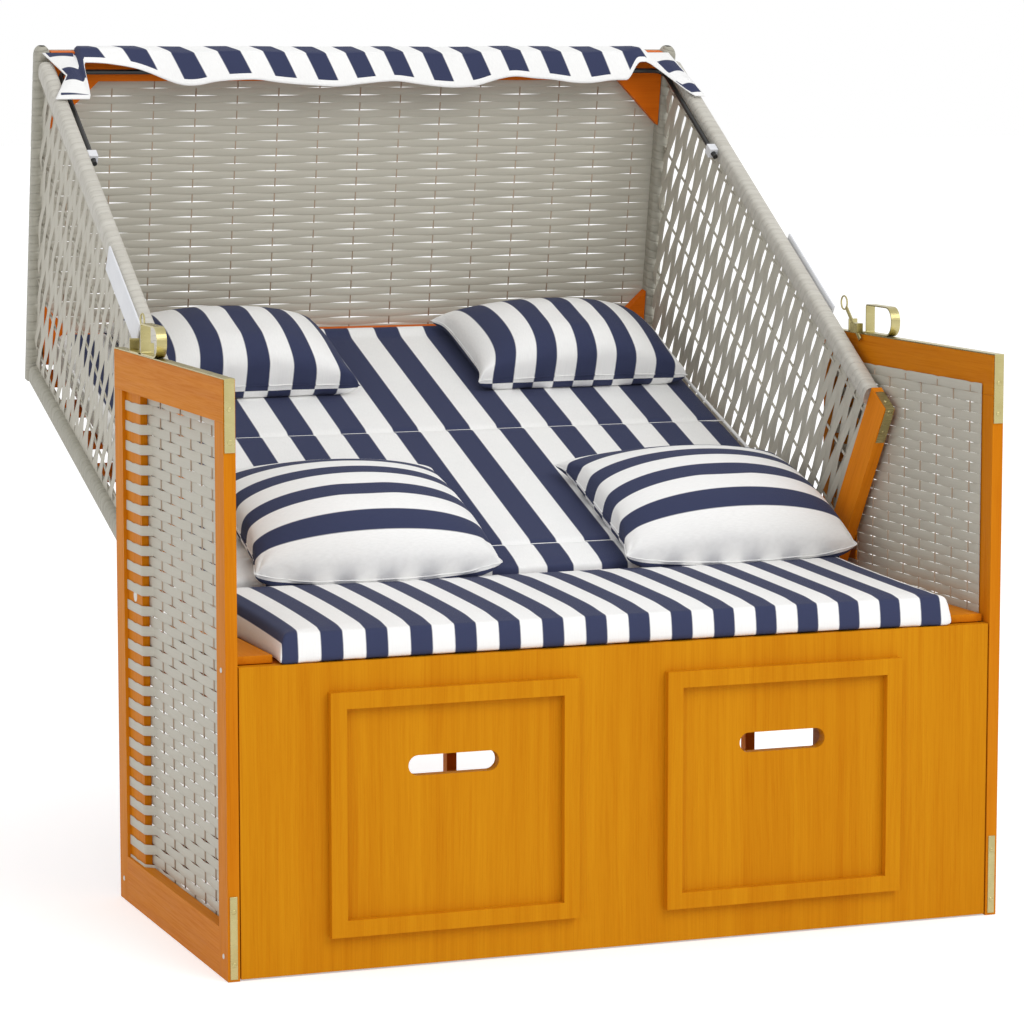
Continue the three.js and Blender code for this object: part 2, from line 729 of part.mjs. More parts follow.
// The hood's strips stand square to the front rail, so the slots between them do as well
function hoodSideWicker(side) {
  const low = tubeWidth / 2 + seatGap;
  const boardBack = onPlane([0, 0], railDir, boardWidth / 2 + seatGap, railUp, 0);
  const railUnder = onRail(0, -tubeWidth - seatGap);
  const corners = [
    meet([0, low], [1, 0], boardBack, railUp),
    meet([0, low], [1, 0], postFaceAt(seatGap), postDir),
    meet(railUnder, railDir, postFaceAt(seatGap), postDir),
    meet(railUnder, railDir, boardBack, railUp),
  ];
  const columnPitch = (railEnd - railStart) / weaveSlotColumns;
  const centres = [];
  for (let column = 0; column < weaveSlotColumns; column += 1) {
    for (let row = 0; row < weaveSlotColumns; row += 1) {
      centres.push(onRail(railStart + columnPitch * (column + 1 / 2),
        -tubeWidth - seatGap - hoodSlotPitch * (row + 1 / 2)));
    }
  }
  const thicken = (shape, more) => alongX(shape, wickerThickness + 2 * more);
  const plate = slottedPlate(corners, thicken, centres, railUp, railDir, hoodSlotLength, hoodSlotWidth);
  return mesh(`hood_side_wicker_${sideName(side)}`, plate, wicker, side * (hoodHalf - tubeThickness / 2));
}

// Back wall: beams between the posts, gussets in their corners, the wicker behind them
const beamFront = beamThickness - beamPostOffset * 2;
const beamBack = beamFront - beamThickness;
const topBeamEnd = postLength - topBeamDrop;
const spanHalf = tubeInner - seatGap;

// A board in the wall's plane: its outline is in X and along the posts
function wallBoard(name, body, finish) {
  const made = mesh(name, body, finish, 0, ...postFoot);
  made.rotation.x = postAngle - Math.PI / 2;
  return made;
}

// A beam between the posts with a gusset in the corner at each of its ends
function crossBeam(name, low, gussetLeg, gussetWay) {
  const high = low + beamHeight;
  const inside = gussetWay > 0 ? high : low;
  const far = inside + gussetWay * gussetLeg;
  const near = spanHalf - gussetLeg;
  const outer = gussetWay > 0 ? low : high;
  const points = [[-spanHalf, outer], [spanHalf, outer], [spanHalf, far], [near, inside],
    [-near, inside], [-spanHalf, far]];
  const shape = shapeOf(gussetWay > 0 ? points : points.reverse());
  return wallBoard(name, alongY(shape, -beamFront, -beamBack), frameWood);
}

// The wall's strips run level, and its slots lie between the two beams that cross in front of it
function hoodWall() {
  const front = beamBack - seatGap;
  const top = topBeamEnd;
  const corners = [[-spanHalf, rearBeamRise], [spanHalf, rearBeamRise], [spanHalf, top], [-spanHalf, top]];
  const openLow = rearBeamRise + beamHeight;
  const rowPitch = (topBeamEnd - beamHeight - openLow) / wallSlotRows;
  const columnPitch = 2 * spanHalf / weaveSlotColumns;
  const centres = [];
  for (let column = 0; column < weaveSlotColumns; column += 1) {
    for (let row = 0; row < wallSlotRows; row += 1) {
      centres.push([columnPitch * (column + 1 / 2) - spanHalf, openLow + rowPitch * (row + 1 / 2)]);
    }
  }
  const thicken = (shape, more) => alongY(shape, -front - more, wickerThickness - front + more);
  const plate = slottedPlate(corners, thicken, centres, [1, 0], [0, 1], wallSlotLength, wallSlotWidth);
  return [
    wallBoard('hood_wall_wicker', plate, wicker),
    crossBeam('hood_top_beam', topBeamEnd - beamHeight, topGussetLeg, -1),
    crossBeam('hood_rear_beam', rearBeamRise, rearGussetLeg, 1),
  ];
}

// Backrest: slats across three battens that run down to a beam between the lower boards
const slatTop = slatThickness - seatGap;

function backrestFrame() {
  const low = slatTop - slatThickness;
  const end = bottomRailEnd - seatGap;
  const pitch = (end - slatStart - slatWidth) / (slatCount - 1);
  const pieces = [];
  for (let k = 0; k < slatCount; k += 1) {
    const y = slatStart + k * pitch;
    pieces.push(block([-spanHalf, y, low], [spanHalf, y + slatWidth, slatTop]));
  }
  const beamHalf = boardInner - seatGap;
  const beamEnd = -boltNutRadius - seatGap;
  const beamStart = beamEnd - lowerBeamWidth;
  for (const place of [-1, 0, 1]) {
    const x = place * battenSpacing;
    pieces.push(block([x - battenWidth / 2, beamStart, low - battenThickness],
      [x + battenWidth / 2, end, slatTop]));
  }
  pieces.push(block([-beamHalf, beamStart, low], [beamHalf, beamEnd, slatTop]));
  return mesh('backrest_slats', join(...pieces), innerWood);
}

// Backrest cushion with its two sewn cross seams
function backrestCushion() {
  const half = mattressWidth / 2;
  const long = mattressLength / 2;
  const low = slatTop + seatGap;
  const place = (a, b) => [half * a, mattressStart + long + long * b * (1 - drawIn(a) / long)];
  const dip = (b) => {
    const y = long + long * b;
    const near = Math.min(...mattressSeams.map((seam) => Math.abs(y - seam)));
    return seamDepth * Math.max(0, 1 - near / seamWidth);
  };
  const full = (a, b) => swell(a, mattressEdgeShares[0]) * swell(b, mattressEdgeShares[1]);
  const top = (a, b) => low - dip(b)
    + mattressThickness * (seamLineShare + (1 - seamLineShare) * full(a, b));
  const bottom = (a, b) => low + mattressThickness * undersideShare * (1 - full(a, b));
  return mesh('backrest_cushion', paddedForm(mattressGrid, place, top, bottom), stripedCloth);
}

// Pillow: flat underneath, crowned on top, its sides drawn in between pointed corners
function pillowGeometry(width, depth, thickness, seamRise) {
  const place = (a, b) => [
    (width / 2) * a * (1 - pillowPullShares[0] * (1 - b * b)),
    (depth / 2) * b * (1 - pillowPullShares[1] * (1 - a * a)),
  ];
  const full = (a, b) => (swell(a, 1) * swell(b, 1)) ** pillowFullness;
  const top = (a, b) => seamRise + pillowRim + (thickness - seamRise - pillowRim) * full(a, b);
  const bottom = (a, b) => seamRise * (1 - full(a, b) ** pillowUndersideFullness);
  return paddedForm(pillowGrid, place, top, bottom);
}

const cushionTop = slatTop + seatGap + mattressThickness + seatGap;

function headPillow(side) {
  const x = 2 * tubeInner * headPillowShares[side < 0 ? 0 : 1];
  return mesh(`head_pillow_${sideName(side)}`,
    pillowGeometry(headPillowWidth, headPillowDepth, headPillowThickness, headPillowSeamRise), pillowCloth,
    x, headPillowStart + headPillowDepth / 2, cushionTop);
}

function bigPillow(side) {
  const x = 2 * tubeInner * bigPillowShares[side < 0 ? 0 : 1];
  const start = mattressStart - bigPillowOverhang;
  return mesh(`big_pillow_${sideName(side)}`,
    pillowGeometry(bigPillowWidth, bigPillowDepth, bigPillowThickness, bigPillowSeamRise), pillowCloth,
    x, start + bigPillowDepth / 2, cushionTop);
}

// Awning: a bent rod that swings on two clips, and the cloth that hangs over the top beam
const awningPivot = onRail(awningPivotAlong, -tubeWidth / 2);
const awningBend = onRail(awningPivotAlong + awningArmLength, -tubeWidth / 2);

function awningRod() {
  const tail = onRail(awningPivotAlong - awningArmTail, -tubeWidth / 2);
  const before = onRail(awningPivotAlong + awningArmLength - awningCornerRadius, -tubeWidth / 2);
  const r = awningCornerRadius;
  const path = new THREE.CurvePath();
  const point = (x, p) => new THREE.Vector3(x, p[0], p[1]);
  path.add(new THREE.LineCurve3(point(-awningArmX, tail), point(-awningArmX, before)));
  path.add(new THREE.QuadraticBezierCurve3(point(-awningArmX, before), point(-awningArmX, awningBend),
    point(-awningArmX + r, awningBend)));
  path.add(new THREE.LineCurve3(point(-awningArmX + r, awningBend), point(awningArmX - r, awningBend)));
  path.add(new THREE.QuadraticBezierCurve3(point(awningArmX - r, awningBend), point(awningArmX, awningBend),
    point(awningArmX, before)));
  path.add(new THREE.LineCurve3(point(awningArmX, before), point(awningArmX, tail)));
  const body = sweep(sampleRod(path), awningRodRadius, rodSides);
  return mesh('awning_rod', body, blackSteel);
}

// Points along the rod: ends of the straight runs and a few on each bend
function sampleRod(path) {
  return path.curves.flatMap((curve, k) => {
    const steps = curve.isQuadraticBezierCurve3 ? bendSegments : 1;
    const points = curve.getPoints(steps);
    return k === 0 ? points : points.slice(1);
  });
}

// A round rod through points that all lie in one plane, with flat ends
function sweep(points, radius, sides) {
  const positions = [];
  const index = [];
  const planeNormal = new THREE.Vector3(0, ...railUp);
  points.forEach((at, k) => {
    const before = points[Math.max(0, k - 1)];
    const after = points[Math.min(points.length - 1, k + 1)];
    const along = new THREE.Vector3().subVectors(after, before).normalize();
    const across = new THREE.Vector3().crossVectors(planeNormal, along).normalize();
    for (let s = 0; s < sides; s += 1) {
      const angle = (2 * Math.PI * s) / sides;
      const p = at.clone().addScaledVector(across, radius * Math.cos(angle))
        .addScaledVector(planeNormal, radius * Math.sin(angle));
      positions.push(p.x, p.y, p.z);
    }
  });
  for (let k = 0; k + 1 < points.length; k += 1) {
    for (let s = 0; s < sides; s += 1) {
      const a = k * sides + s;
      const b = k * sides + ((s + 1) % sides);
      index.push(a, b, b + sides, a, b + sides, a + sides);
    }
  }
  const last = (points.length - 1) * sides;
  for (let s = 1; s + 1 < sides; s += 1) {
    index.push(0, s + 1, s);
    index.push(last, last + s, last + s + 1);
  }
  const made = new THREE.BufferGeometry();
  made.setAttribute('position', new THREE.Float32BufferAttribute(positions, 3));
  made.setIndex(index);
  made.computeVertexNormals();
  return made;
}

// Clip: a block that grips the rod and turns on a stub in the front rail
function awningClip(side) {
  const inner = awningArmX - clipInset;
  const width = tubeInner - seatGap - inner;
  const body = new THREE.BoxGeometry(width, clipLength, clipHeight);
  body.translate(side * (inner + width / 2), 0, 0);
  const hole = new THREE.CylinderGeometry(awningRodRadius + seatGap, awningRodRadius + seatGap,
    clipLength + 2 * cutOverrun, roundSegments);
  hole.translate(side * awningArmX, 0, 0);
  const face = tubeInner - seatGap;
  const stub = rodX(clipPinRadius, side * (face - seatGap), side * (face + clipPinLength));
  const made = mesh(`awning_clip_${sideName(side)}`, join(cut(body, hole), stub), whitePlastic,
    0, awningPivot[0], awningPivot[1]);
  made.rotation.x = frontRailAngle;
  return made;
}

// The awning cloth's outline in the wall's frame: distance along the posts and in front of them.
// Three outlines are mixed along the beam: the hanging middle, the raised arch and the end flap.
const clothBack = beamBack - wickerThickness - clothThickness;
const clothTop = topBeamEnd + clothThickness;
const rodAlong = (awningBend[0] - postFoot[0]) * postDir[0] + (awningBend[1] - postFoot[1]) * postDir[1];
const rodAhead = (awningBend[0] - postFoot[0]) * postFront[0] + (awningBend[1] - postFoot[1]) * postFront[1];
const rodSkin = awningRodRadius + clothThickness;
const flapStart = tubeWidth / 2 + flapGap;

function clothLine(kind) {
  const overRod = rodAlong + rodSkin;
  const railTop = (ahead) => {
    const at = meet(onRail(0, 0), railDir, onPost(0, ahead), postDir);
    return (at[0] - postFoot[0]) * postDir[0] + (at[1] - postFoot[1]) * postDir[1];
  };
  const crest = clothTop + clothThickness + (kind === 'arch' ? clothThickness : 0);
  const front = [[crest, beamBack], [crest, beamFront], [overRod + archRise, rodAhead]];
  const rear = [[crest - clothThickness, clothBack], [crest, (clothBack + beamBack) / 2]];
  if (kind === 'middle') {
    return [...rear, ...front, [rodAlong, rodAhead + rodSkin], [rodAlong - valanceDrop, rodAhead + rodSkin]];
  }
  if (kind === 'arch') {
    return [...rear, ...front, [overRod, rodAhead + rodSkin],
      [overRod - clothThickness, rodAhead + rodSkin + clothThickness]];
  }
  const steps = rear.length + front.length + 1;
  return Array.from({ length: steps + 1 }, (_, k) => {
    const ahead = flapStart + (k / steps) * flapReach;
    return [railTop(ahead) + flapLift + clothThickness, ahead];
  });
}

function clothPoint(outline, share) {
  const step = share * (outline.length - 1);
  const k = Math.min(outline.length - 2, Math.floor(step));
  const f = step - k;
  return [0, 1].map((axis) => outline[k][axis] * (1 - f) + outline[k + 1][axis] * f);
}

const smooth = (low, high, value) => {
  const f = Math.min(1, Math.max(0, (value - low) / (high - low)));
  return f * f * (3 - 2 * f);
};

function awningCloth() {
  const lines = { middle: clothLine('middle'), arch: clothLine('arch'), flap: clothLine('flap') };
  const flapFull = tubeInner - flapInset;
  const archEnd = flapFull - archWidth / 2;
  const archFull = archEnd - flapInset;
  const archStart = archFull - archWidth;
  const placed = (x, share) => {
    const toArch = smooth(archStart, archFull, Math.abs(x));
    const toFlap = smooth(archEnd, flapFull, Math.abs(x));
    const ripple = (1 + Math.cos((2 * Math.PI * x) / waveLength)) / 2;
    const wave = waveHeight * share * share * ripple * (1 - toArch);
    const mix = (axis) => {
      const [m, c, f] = [lines.middle, lines.arch, lines.flap].map((line) => clothPoint(line, share)[axis]);
      return (m * (1 - toArch) + c * toArch) * (1 - toFlap) + f * toFlap;
    };
    return onPost(mix(0) + wave, mix(1));
  };
  const step = 1 / (2 * clothGrid[1]);
  const skin = (way) => (a, b) => {
    const x = a * clothHalfWidth;
    const share = (b + 1) / 2;
    const at = placed(x, share);
    const before = placed(x, Math.max(0, share - step));
    const after = placed(x, Math.min(1, share + step));
    const offset = (way * clothThickness) / 2 / distance(before, after);
    return [x, at[0] + (after[1] - before[1]) * offset, at[1] - (after[0] - before[0]) * offset];
  };
  return mesh('awning_cloth', closedGrid(clothGrid, skin(-1), skin(1)), awningStripes);
}

// Assembly
function makeBase() {
  const base = new THREE.Group();
  base.add(frontPanel(), ...seatStructure(), seatCushion());
  for (const side of [-1, 1]) {
    base.add(...sideFrame(side), pivotBoard(side), baseWicker(side), pivotBolt(side));
    base.add(armrestStrap(side), latchLever(side), lockingPin(side));
    base.add(drawerGuide(side, -1), drawerGuide(side, 1), ...footrest(side));
  }
  return base;
}

function makeHood() {
  const hood = new THREE.Group();
  hood.position.set(0, pivotY, pivotHeight);
  hood.rotation.x = reclineAngle;
  hood.add(...hoodWall(), backrestFrame(), backrestCushion(), awningRod(), awningCloth());
  for (const side of [-1, 1]) {
    hood.add(...hoodTubes(side), hoodBoard(side), hoodSideWicker(side), awningClip(side));
    hood.add(headPillow(side), bigPillow(side));
  }
  return hood;
}

// The origin is on the floor under the middle of the whole chair
function beachChair() {
  const chair = new THREE.Group();
  chair.add(makeBase(), makeHood());
  const box = new THREE.Box3().setFromObject(chair, true);
  chair.position.y = -(box.min.y + box.max.y) / 2;
  const root = new THREE.Group();
  root.add(chair);
  return root;
}

export default beachChair();
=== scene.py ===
"""Looks of the hooded beach chair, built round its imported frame. Metres, +Z up, the front faces -Y."""

import json
import math

import bmesh
import bpy
import numpy as np
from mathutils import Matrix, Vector
from mathutils.geometry import convex_hull_2d


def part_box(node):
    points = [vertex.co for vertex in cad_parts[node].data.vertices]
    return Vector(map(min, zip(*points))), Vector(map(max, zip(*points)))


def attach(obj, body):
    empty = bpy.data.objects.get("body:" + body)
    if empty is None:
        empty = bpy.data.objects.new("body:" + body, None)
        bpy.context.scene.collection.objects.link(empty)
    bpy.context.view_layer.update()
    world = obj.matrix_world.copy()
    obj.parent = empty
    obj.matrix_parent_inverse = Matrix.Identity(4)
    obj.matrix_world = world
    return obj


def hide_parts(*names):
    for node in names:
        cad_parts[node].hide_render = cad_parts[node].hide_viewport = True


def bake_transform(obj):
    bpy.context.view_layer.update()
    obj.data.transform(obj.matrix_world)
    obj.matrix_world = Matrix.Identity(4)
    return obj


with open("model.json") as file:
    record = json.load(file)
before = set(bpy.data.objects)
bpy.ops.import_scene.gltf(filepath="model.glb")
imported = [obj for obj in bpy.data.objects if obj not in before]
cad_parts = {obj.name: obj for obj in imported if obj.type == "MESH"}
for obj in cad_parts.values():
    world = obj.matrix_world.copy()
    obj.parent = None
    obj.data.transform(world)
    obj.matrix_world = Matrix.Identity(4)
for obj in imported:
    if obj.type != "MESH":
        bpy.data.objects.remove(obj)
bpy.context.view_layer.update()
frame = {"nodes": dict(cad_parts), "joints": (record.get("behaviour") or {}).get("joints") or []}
NODES = frame["nodes"]
SIDES = {"left": -1, "right": 1}
MM = 0.001
RIGHT, UP = np.array([1.0, 0.0, 0.0]), np.array([0.0, 0.0, 1.0])

# The photograph's camera, fitted to its straight edges
CAMERA_PLACE = (-1.9043, -5.2248, 1.1995)
CAMERA_TURN = (math.pi / 2 - 0.1212, 0.0, -0.3593)
CAMERA_LENS, CAMERA_SENSOR, CAMERA_REACH = 134.0, 36.0, 200.0
CAMERA_SHIFT = (0.00085, -0.0015)

# Light: place, size and power of each lamp, and what they point at
LAMPS = {"key": ((1.8, -4.6, 4.4), 3.5, 110.0), "fill": ((-3.4, -5.0, 2.6), 3.0, 20.0)}
LAMP_TARGET = (0, 0, 0.5)
AMBIENT = 0.82
FLOOR_REACH, FLOOR_DROP, FLOOR_TONE, FLOOR_GLOW = 40.0, 0.0004, 0.86, 0.42

# Slopes in the Y-Z plane, from +Y towards +Z
RECLINE = math.radians(19.6)
RAIL_SLOPE = RECLINE + math.radians(12.6)
POST_SLOPE = RECLINE + math.radians(80.2)


class Slope:
    """A turned frame in the Y-Z plane: along runs up the slope and out stands square to it."""

    def __init__(self, origin, angle):
        self.origin = origin
        self.cos, self.sin = math.cos(angle), math.sin(angle)

    def point(self, x, along, out):
        """Row-frame points, for numbers or arrays."""
        x, along, out = np.broadcast_arrays(x, along, out)
        y = self.origin[0] + along * self.cos - out * self.sin
        z = self.origin[1] + along * self.sin + out * self.cos
        return np.stack([x, y, z], -1).astype(float)

    def of(self, points):
        """(x, along, out) of row-frame points."""
        points = np.asarray(points, float)
        y, z = points[..., 1] - self.origin[0], points[..., 2] - self.origin[1]
        return np.stack([points[..., 0], y * self.cos + z * self.sin, z * self.cos - y * self.sin], -1)

    def box(self, node):
        """Lowest and highest (x, along, out) of a CAD node."""
        local = self.of([v.co for v in NODES[node].data.vertices])
        return local.min(0), local.max(0)


PIVOT = next(j for j in frame["joints"] if j["name"] == "hood_recline")["pos_m"][1:]
HOOD = Slope(PIVOT, RECLINE)
RAIL = Slope(PIVOT, RAIL_SLOPE)
POST = Slope(PIVOT, POST_SLOPE)
LEVEL = Slope((0.0, 0.0), 0.0)


# Mesh making
class Shape:
    """Collects vertices, faces and one vector per vertex that the materials read."""

    def __init__(self):
        self.points, self.faces, self.marks, self.count = [], [], [], 0

    def add(self, points, faces, marks=None):
        points = np.asarray(points, float).reshape(-1, 3)
        marks = np.zeros_like(points) if marks is None else np.asarray(marks, float).reshape(-1, 3)
        self.points.append(points)
        self.marks.append(marks)
        self.faces.extend([tuple(int(i) + self.count for i in face) for face in faces])
        self.count += len(points)

    def tube(self, rings, marks=None):
        """A closed skin over rings of points, (rings, points in a ring, 3)."""
        rings = np.asarray(rings, float)
        at = np.arange(rings.shape[0] * rings.shape[1]).reshape(rings.shape[:2])
        faces = ring_faces(at[:-1], at[1:]) + [at[0][::-1].tolist(), at[-1].tolist()]
        self.add(rings, faces, marks)

    def make(self, name, finish, body, replaces=(), slot=None, sharp=None):
        mesh = bpy.data.meshes.new(name)
        mesh.from_pydata(np.concatenate(self.points).tolist(), [], self.faces)
        marks = mesh.attributes.new("mark", "FLOAT_VECTOR", "POINT")
        marks.data.foreach_set("vector", np.concatenate(self.marks).astype(np.float32).ravel())
        clean(mesh)
        mesh.materials.append(finish)
        mesh.shade_smooth()
        if sharp:
            mesh.set_sharp_from_angle(angle=math.radians(sharp))
        return dress(shown(name, mesh), body, replaces)


def ring_faces(ring, after):
    """Quads between rings of indices and the rings after them."""
    return np.stack([ring, np.roll(ring, -1, 1), np.roll(after, -1, 1), after], -1).reshape(-1, 4).tolist()


def grid_faces(at):
    """Quads over a grid of indices."""
    return np.stack([at[:-1, :-1], at[:-1, 1:], at[1:, 1:], at[1:, :-1]], -1).reshape(-1, 4)


MERGE, WIDE_MERGE, SLIVER = 1e-6, 1e-5, 1e-10


def clean(mesh, close=False):
    """Merges doubled points and turns every face outward; close also drops slivers and fills ends."""
    work = bmesh.new()
    work.from_mesh(mesh)
    bmesh.ops.remove_doubles(work, verts=work.verts, dist=WIDE_MERGE if close else MERGE)
    if close:
        bmesh.ops.delete(work, geom=[f for f in work.faces if f.calc_area() < SLIVER], context="FACES")
        bmesh.ops.holes_fill(work, edges=[e for e in work.edges if e.is_boundary])
        bmesh.ops.delete(work, geom=[v for v in work.verts if not v.link_faces], context="VERTS")
    bmesh.ops.recalc_face_normals(work, faces=work.faces)
    work.to_mesh(mesh)
    work.free()


def shown(name, mesh):
    piece = bpy.data.objects.new(name, mesh)
    bpy.context.scene.collection.objects.link(piece)
    return piece


def dress(piece, body, replaces=()):
    if body:
        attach(piece, body)
    if replaces:
        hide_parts(*replaces)
    return piece


EDGE_ANGLE = 40


def rounded(work, name, finish, bevel, segments):
    """A sharp-edged work mesh as a piece with rounded edges."""
    bmesh.ops.recalc_face_normals(work, faces=work.faces)
    bmesh.ops.bevel(work, geom=work.edges[:] + work.verts[:], offset=bevel, segments=segments,
                    affect="EDGES", profile=0.5)
    mesh = bpy.data.meshes.new(name)
    work.to_mesh(mesh)
    work.free()
    mesh.materials.append(finish)
    mesh.shade_smooth()
    mesh.set_sharp_from_angle(angle=math.radians(EDGE_ANGLE))
    return shown(name, mesh)


def applied(piece, kind, **settings):
    """Adds one modifier to a piece and applies it."""
    added = piece.modifiers.new("more", kind)
    for key, value in settings.items():
        setattr(added, key, value)
    graph = bpy.context.evaluated_depsgraph_get()
    mesh = bpy.data.meshes.new_from_object(piece.evaluated_get(graph))
    mesh.name = piece.name
    piece.modifiers.clear()
    piece.data = mesh
    mesh.shade_smooth()


def circle(count):
    """Cosines and sines of even steps round a circle."""
    angle = 2 * math.pi * np.arange(count) / count
    return np.cos(angle), np.sin(angle)


def unit(vectors):
    return vectors / np.maximum(np.linalg.norm(vectors, axis=-1, keepdims=True), 1e-9)


def smooth_step(low, high, value):
    f = np.clip((value - low) / (high - low), 0, 1)
    return f * f * (3 - 2 * f)


# Node materials
def srgb(red, green, blue):
    """A colour given as it shows on screen, 0 to 255, as linear light."""
    def linear(value):
        share = value / 255
        return share / 12.92 if share <= 0.04045 else ((share + 0.055) / 1.055) ** 2.4
    return (linear(red), linear(green), linear(blue), 1.0)


class Nodes:
    """Adds to a node tree; every step gives the socket that the next one reads."""

    def __init__(self, tree):
        self.tree = tree

    def node(self, kind, inputs=None, **settings):
        made = self.tree.nodes.new("ShaderNode" + kind)
        for key, value in settings.items():
            setattr(made, key, value)
        for key, value in (inputs or {}).items():
            self.feed(made.inputs[key], value)
        return made

    def feed(self, socket, value):
        if isinstance(value, bpy.types.NodeSocket):
            self.tree.links.new(value, socket)
        else:
            socket.default_value = value

    def math(self, operation, a, b=0.0):
        return self.node("Math", {0: a, 1: b}, operation=operation).outputs[0]

    def add(self, a, b):
        return self.math("ADD", a, b)

    def times(self, a, b):
        return self.math("MULTIPLY", a, b)

    def mix(self, share, a, b):
        return self.node("Mix", {0: share, 6: a, 7: b}, data_type="RGBA").outputs[2]

    def place(self):
        return self.node("TexCoord").outputs["Object"]

    def mark(self):
        return self.split(self.node("Attribute", attribute_name="mark",
                                    attribute_type="GEOMETRY").outputs["Vector"])

    def split(self, vector):
        return self.node("SeparateXYZ", {0: vector}).outputs

    def scaled(self, vector, scales):
        """A vector from three values, each times its own scale; None leaves one as it is."""
        parts = [v if scale is None else self.times(v, scale) for v, scale in zip(vector, scales)]
        return self.node("CombineXYZ", dict(enumerate(parts))).outputs[0]

    def mapped(self, vector, scale=(1, 1, 1), turn=(0, 0, 0)):
        return self.node("Mapping", {"Vector": vector, "Rotation": turn, "Scale": scale}).outputs[0]

    def noise(self, vector, scale=1.0, detail=4.0, roughness=0.5):
        inputs = {"Vector": vector, "Scale": scale, "Detail": detail, "Roughness": roughness,
                  "Distortion": 0.0}
        return self.node("TexNoise", inputs).outputs["Fac"]

    def remap(self, value, low, high, to_low=0.0, to_high=1.0):
        inputs = {"Value": value, "From Min": low, "From Max": high, "To Min": to_low, "To Max": to_high}
        return self.node("MapRange", inputs).outputs[0]

    def bump(self, height, depth, normal=None):
        inputs = {"Height": height, "Distance": depth, "Strength": 1.0}
        if normal is not None:
            inputs["Normal"] = normal
        return self.node("Bump", inputs).outputs[0]


class Finish(Nodes):
    """One node material."""

    def __init__(self, name, **fixed):
        self.material = bpy.data.materials.new(name)
        self.material.use_nodes = True
        super().__init__(self.material.node_tree)
        self.tree.nodes.clear()
        self.shader, self.output = self.node("BsdfPrincipled"), self.node("OutputMaterial")
        self.feed(self.output.inputs[0], self.shader.outputs[0])
        for key, value in fixed.items():
            self.shader.inputs[key.replace("_", " ")].default_value = value

    def finish(self, color, roughness, normal):
        for key, value in (("Base Color", color), ("Roughness", roughness), ("Normal", normal)):
            self.feed(self.shader.inputs[key], value)
        return self.material


# Most of a noise lies between these two
NOISE = (0.3, 0.7)
GRAIN_TURNS = {
    "up": (0.0, 0.0, 0.0),
    "along_y": (math.pi / 2, 0.0, 0.0),
    "along_x": (0.0, math.pi / 2, 0.0),
    "rail": (-RAIL_SLOPE, 0.0, 0.0),
}
# Each layer of the grain: fineness across and along it, the noise between which it darkens, how much
GRAIN = {"broad": (38.0, 1.1, *NOISE, 0.40), "streaks": (130.0, 2.2, 0.42, 0.75, 0.26),
         "fibres": (620.0, 13.0, 0.45, 0.75, 0.36)}
GRAIN_DEPTH, GRAIN_BEND, BEND_SCALE = 0.7, 0.03, (3.0, 3.0, 1.2)
PLANK_TONES = 0.18
FIBRE_BUMP, STREAK_BUMP = 0.00012, 0.0003


def wood(name, pale, dark, way, plank=0.0, gloss=0.42):
    """Stained pine: long streaks, fine fibres and faint lamellas, the grain running one way."""
    made = Finish(name, Specular_IOR_Level=0.04)
    turned = made.mapped(made.place(), turn=GRAIN_TURNS[way])
    x, depth, height = made.split(turned)
    bend = made.noise(made.mapped(turned, scale=BEND_SCALE), 1.0, 2.0)
    across = made.add(x, made.times(bend, GRAIN_BEND))
    noise, dark_share = {}, {}
    for layer, (fine, long, low, high, amount) in GRAIN.items():
        noise[layer] = made.noise(made.scaled((across, depth, height), (fine, fine * GRAIN_DEPTH, long)),
                                  1.0, 4.0, 0.6)
        dark_share[layer] = made.remap(noise[layer], low, high, 0.0, amount)
    share = made.add(dark_share["broad"], dark_share["streaks"])
    if plank:
        number = made.math("FLOOR", made.math("DIVIDE", x, plank))
        tone = made.node("TexWhiteNoise", {"W": number}, noise_dimensions="1D").outputs[0]
        share = made.add(share, made.times(tone, PLANK_TONES))
    share = made.add(share, dark_share["fibres"])
    roughness = made.remap(noise["fibres"], *NOISE, gloss - 0.05, gloss + 0.1)
    relief = made.bump(noise["fibres"], FIBRE_BUMP, made.bump(noise["streaks"], STREAK_BUMP))
    return made.finish(made.mix(share, pale, dark), roughness, relief)


# How fine a strip's ribs and specks are, along it, across it and from strip to strip
RIBS, SPECKS = (14.0, 9.0, 37.0), (260.0, 40.0, None)
RIB_BUMP, RESIN_ROUGHNESS = 0.0002, (0.44, 0.60)


def resin(name, pale, dark, groove_shade_color, edge_from=0.86, tones=0.3):
    """Flat resin strip: fine ribs along it, a tone for each strip and a darker edge, painted shade where it
    meets the next strip or turn.
    """
    made = Finish(name, Specular_IOR_Level=0.3)
    along, across, tone = made.mark()
    ribs = made.noise(made.scaled((along, across, tone), RIBS), 1.0, 4.0, 0.65)
    specks = made.noise(made.scaled((along, across, tone), SPECKS), 1.0, 3.0)
    edge = made.times(made.math("ABSOLUTE", across), 2.0)
    share = made.add(made.remap(ribs, *NOISE, 0.0, 0.6), made.times(tone, tones))
    # Painted shade: the edges darken unevenly along the ribs, as the shaded groove between neighbouring
    # strips and between a pole's turns would
    groove_shade = made.times(made.remap(edge, edge_from, 1.0), made.remap(ribs, 0.35, 0.6, 0.25, 1.0))
    color = made.mix(groove_shade, made.mix(share, pale, dark), groove_shade_color)
    roughness = made.remap(specks, *NOISE, *RESIN_ROUGHNESS)
    return made.finish(color, roughness, made.bump(ribs, RIB_BUMP))


NAVY, WHITE = srgb(56, 62, 92), srgb(249, 249, 248)
YARN, STRIPE_SOFTNESS, CLOTH_BUMP = 0.0011, 0.0008, 0.00012
SLUBS, FADE_SCALE = (900.0, 120.0, None), (7.0, 7.0, 7.0)
WHOLE_TURNS = 64.0


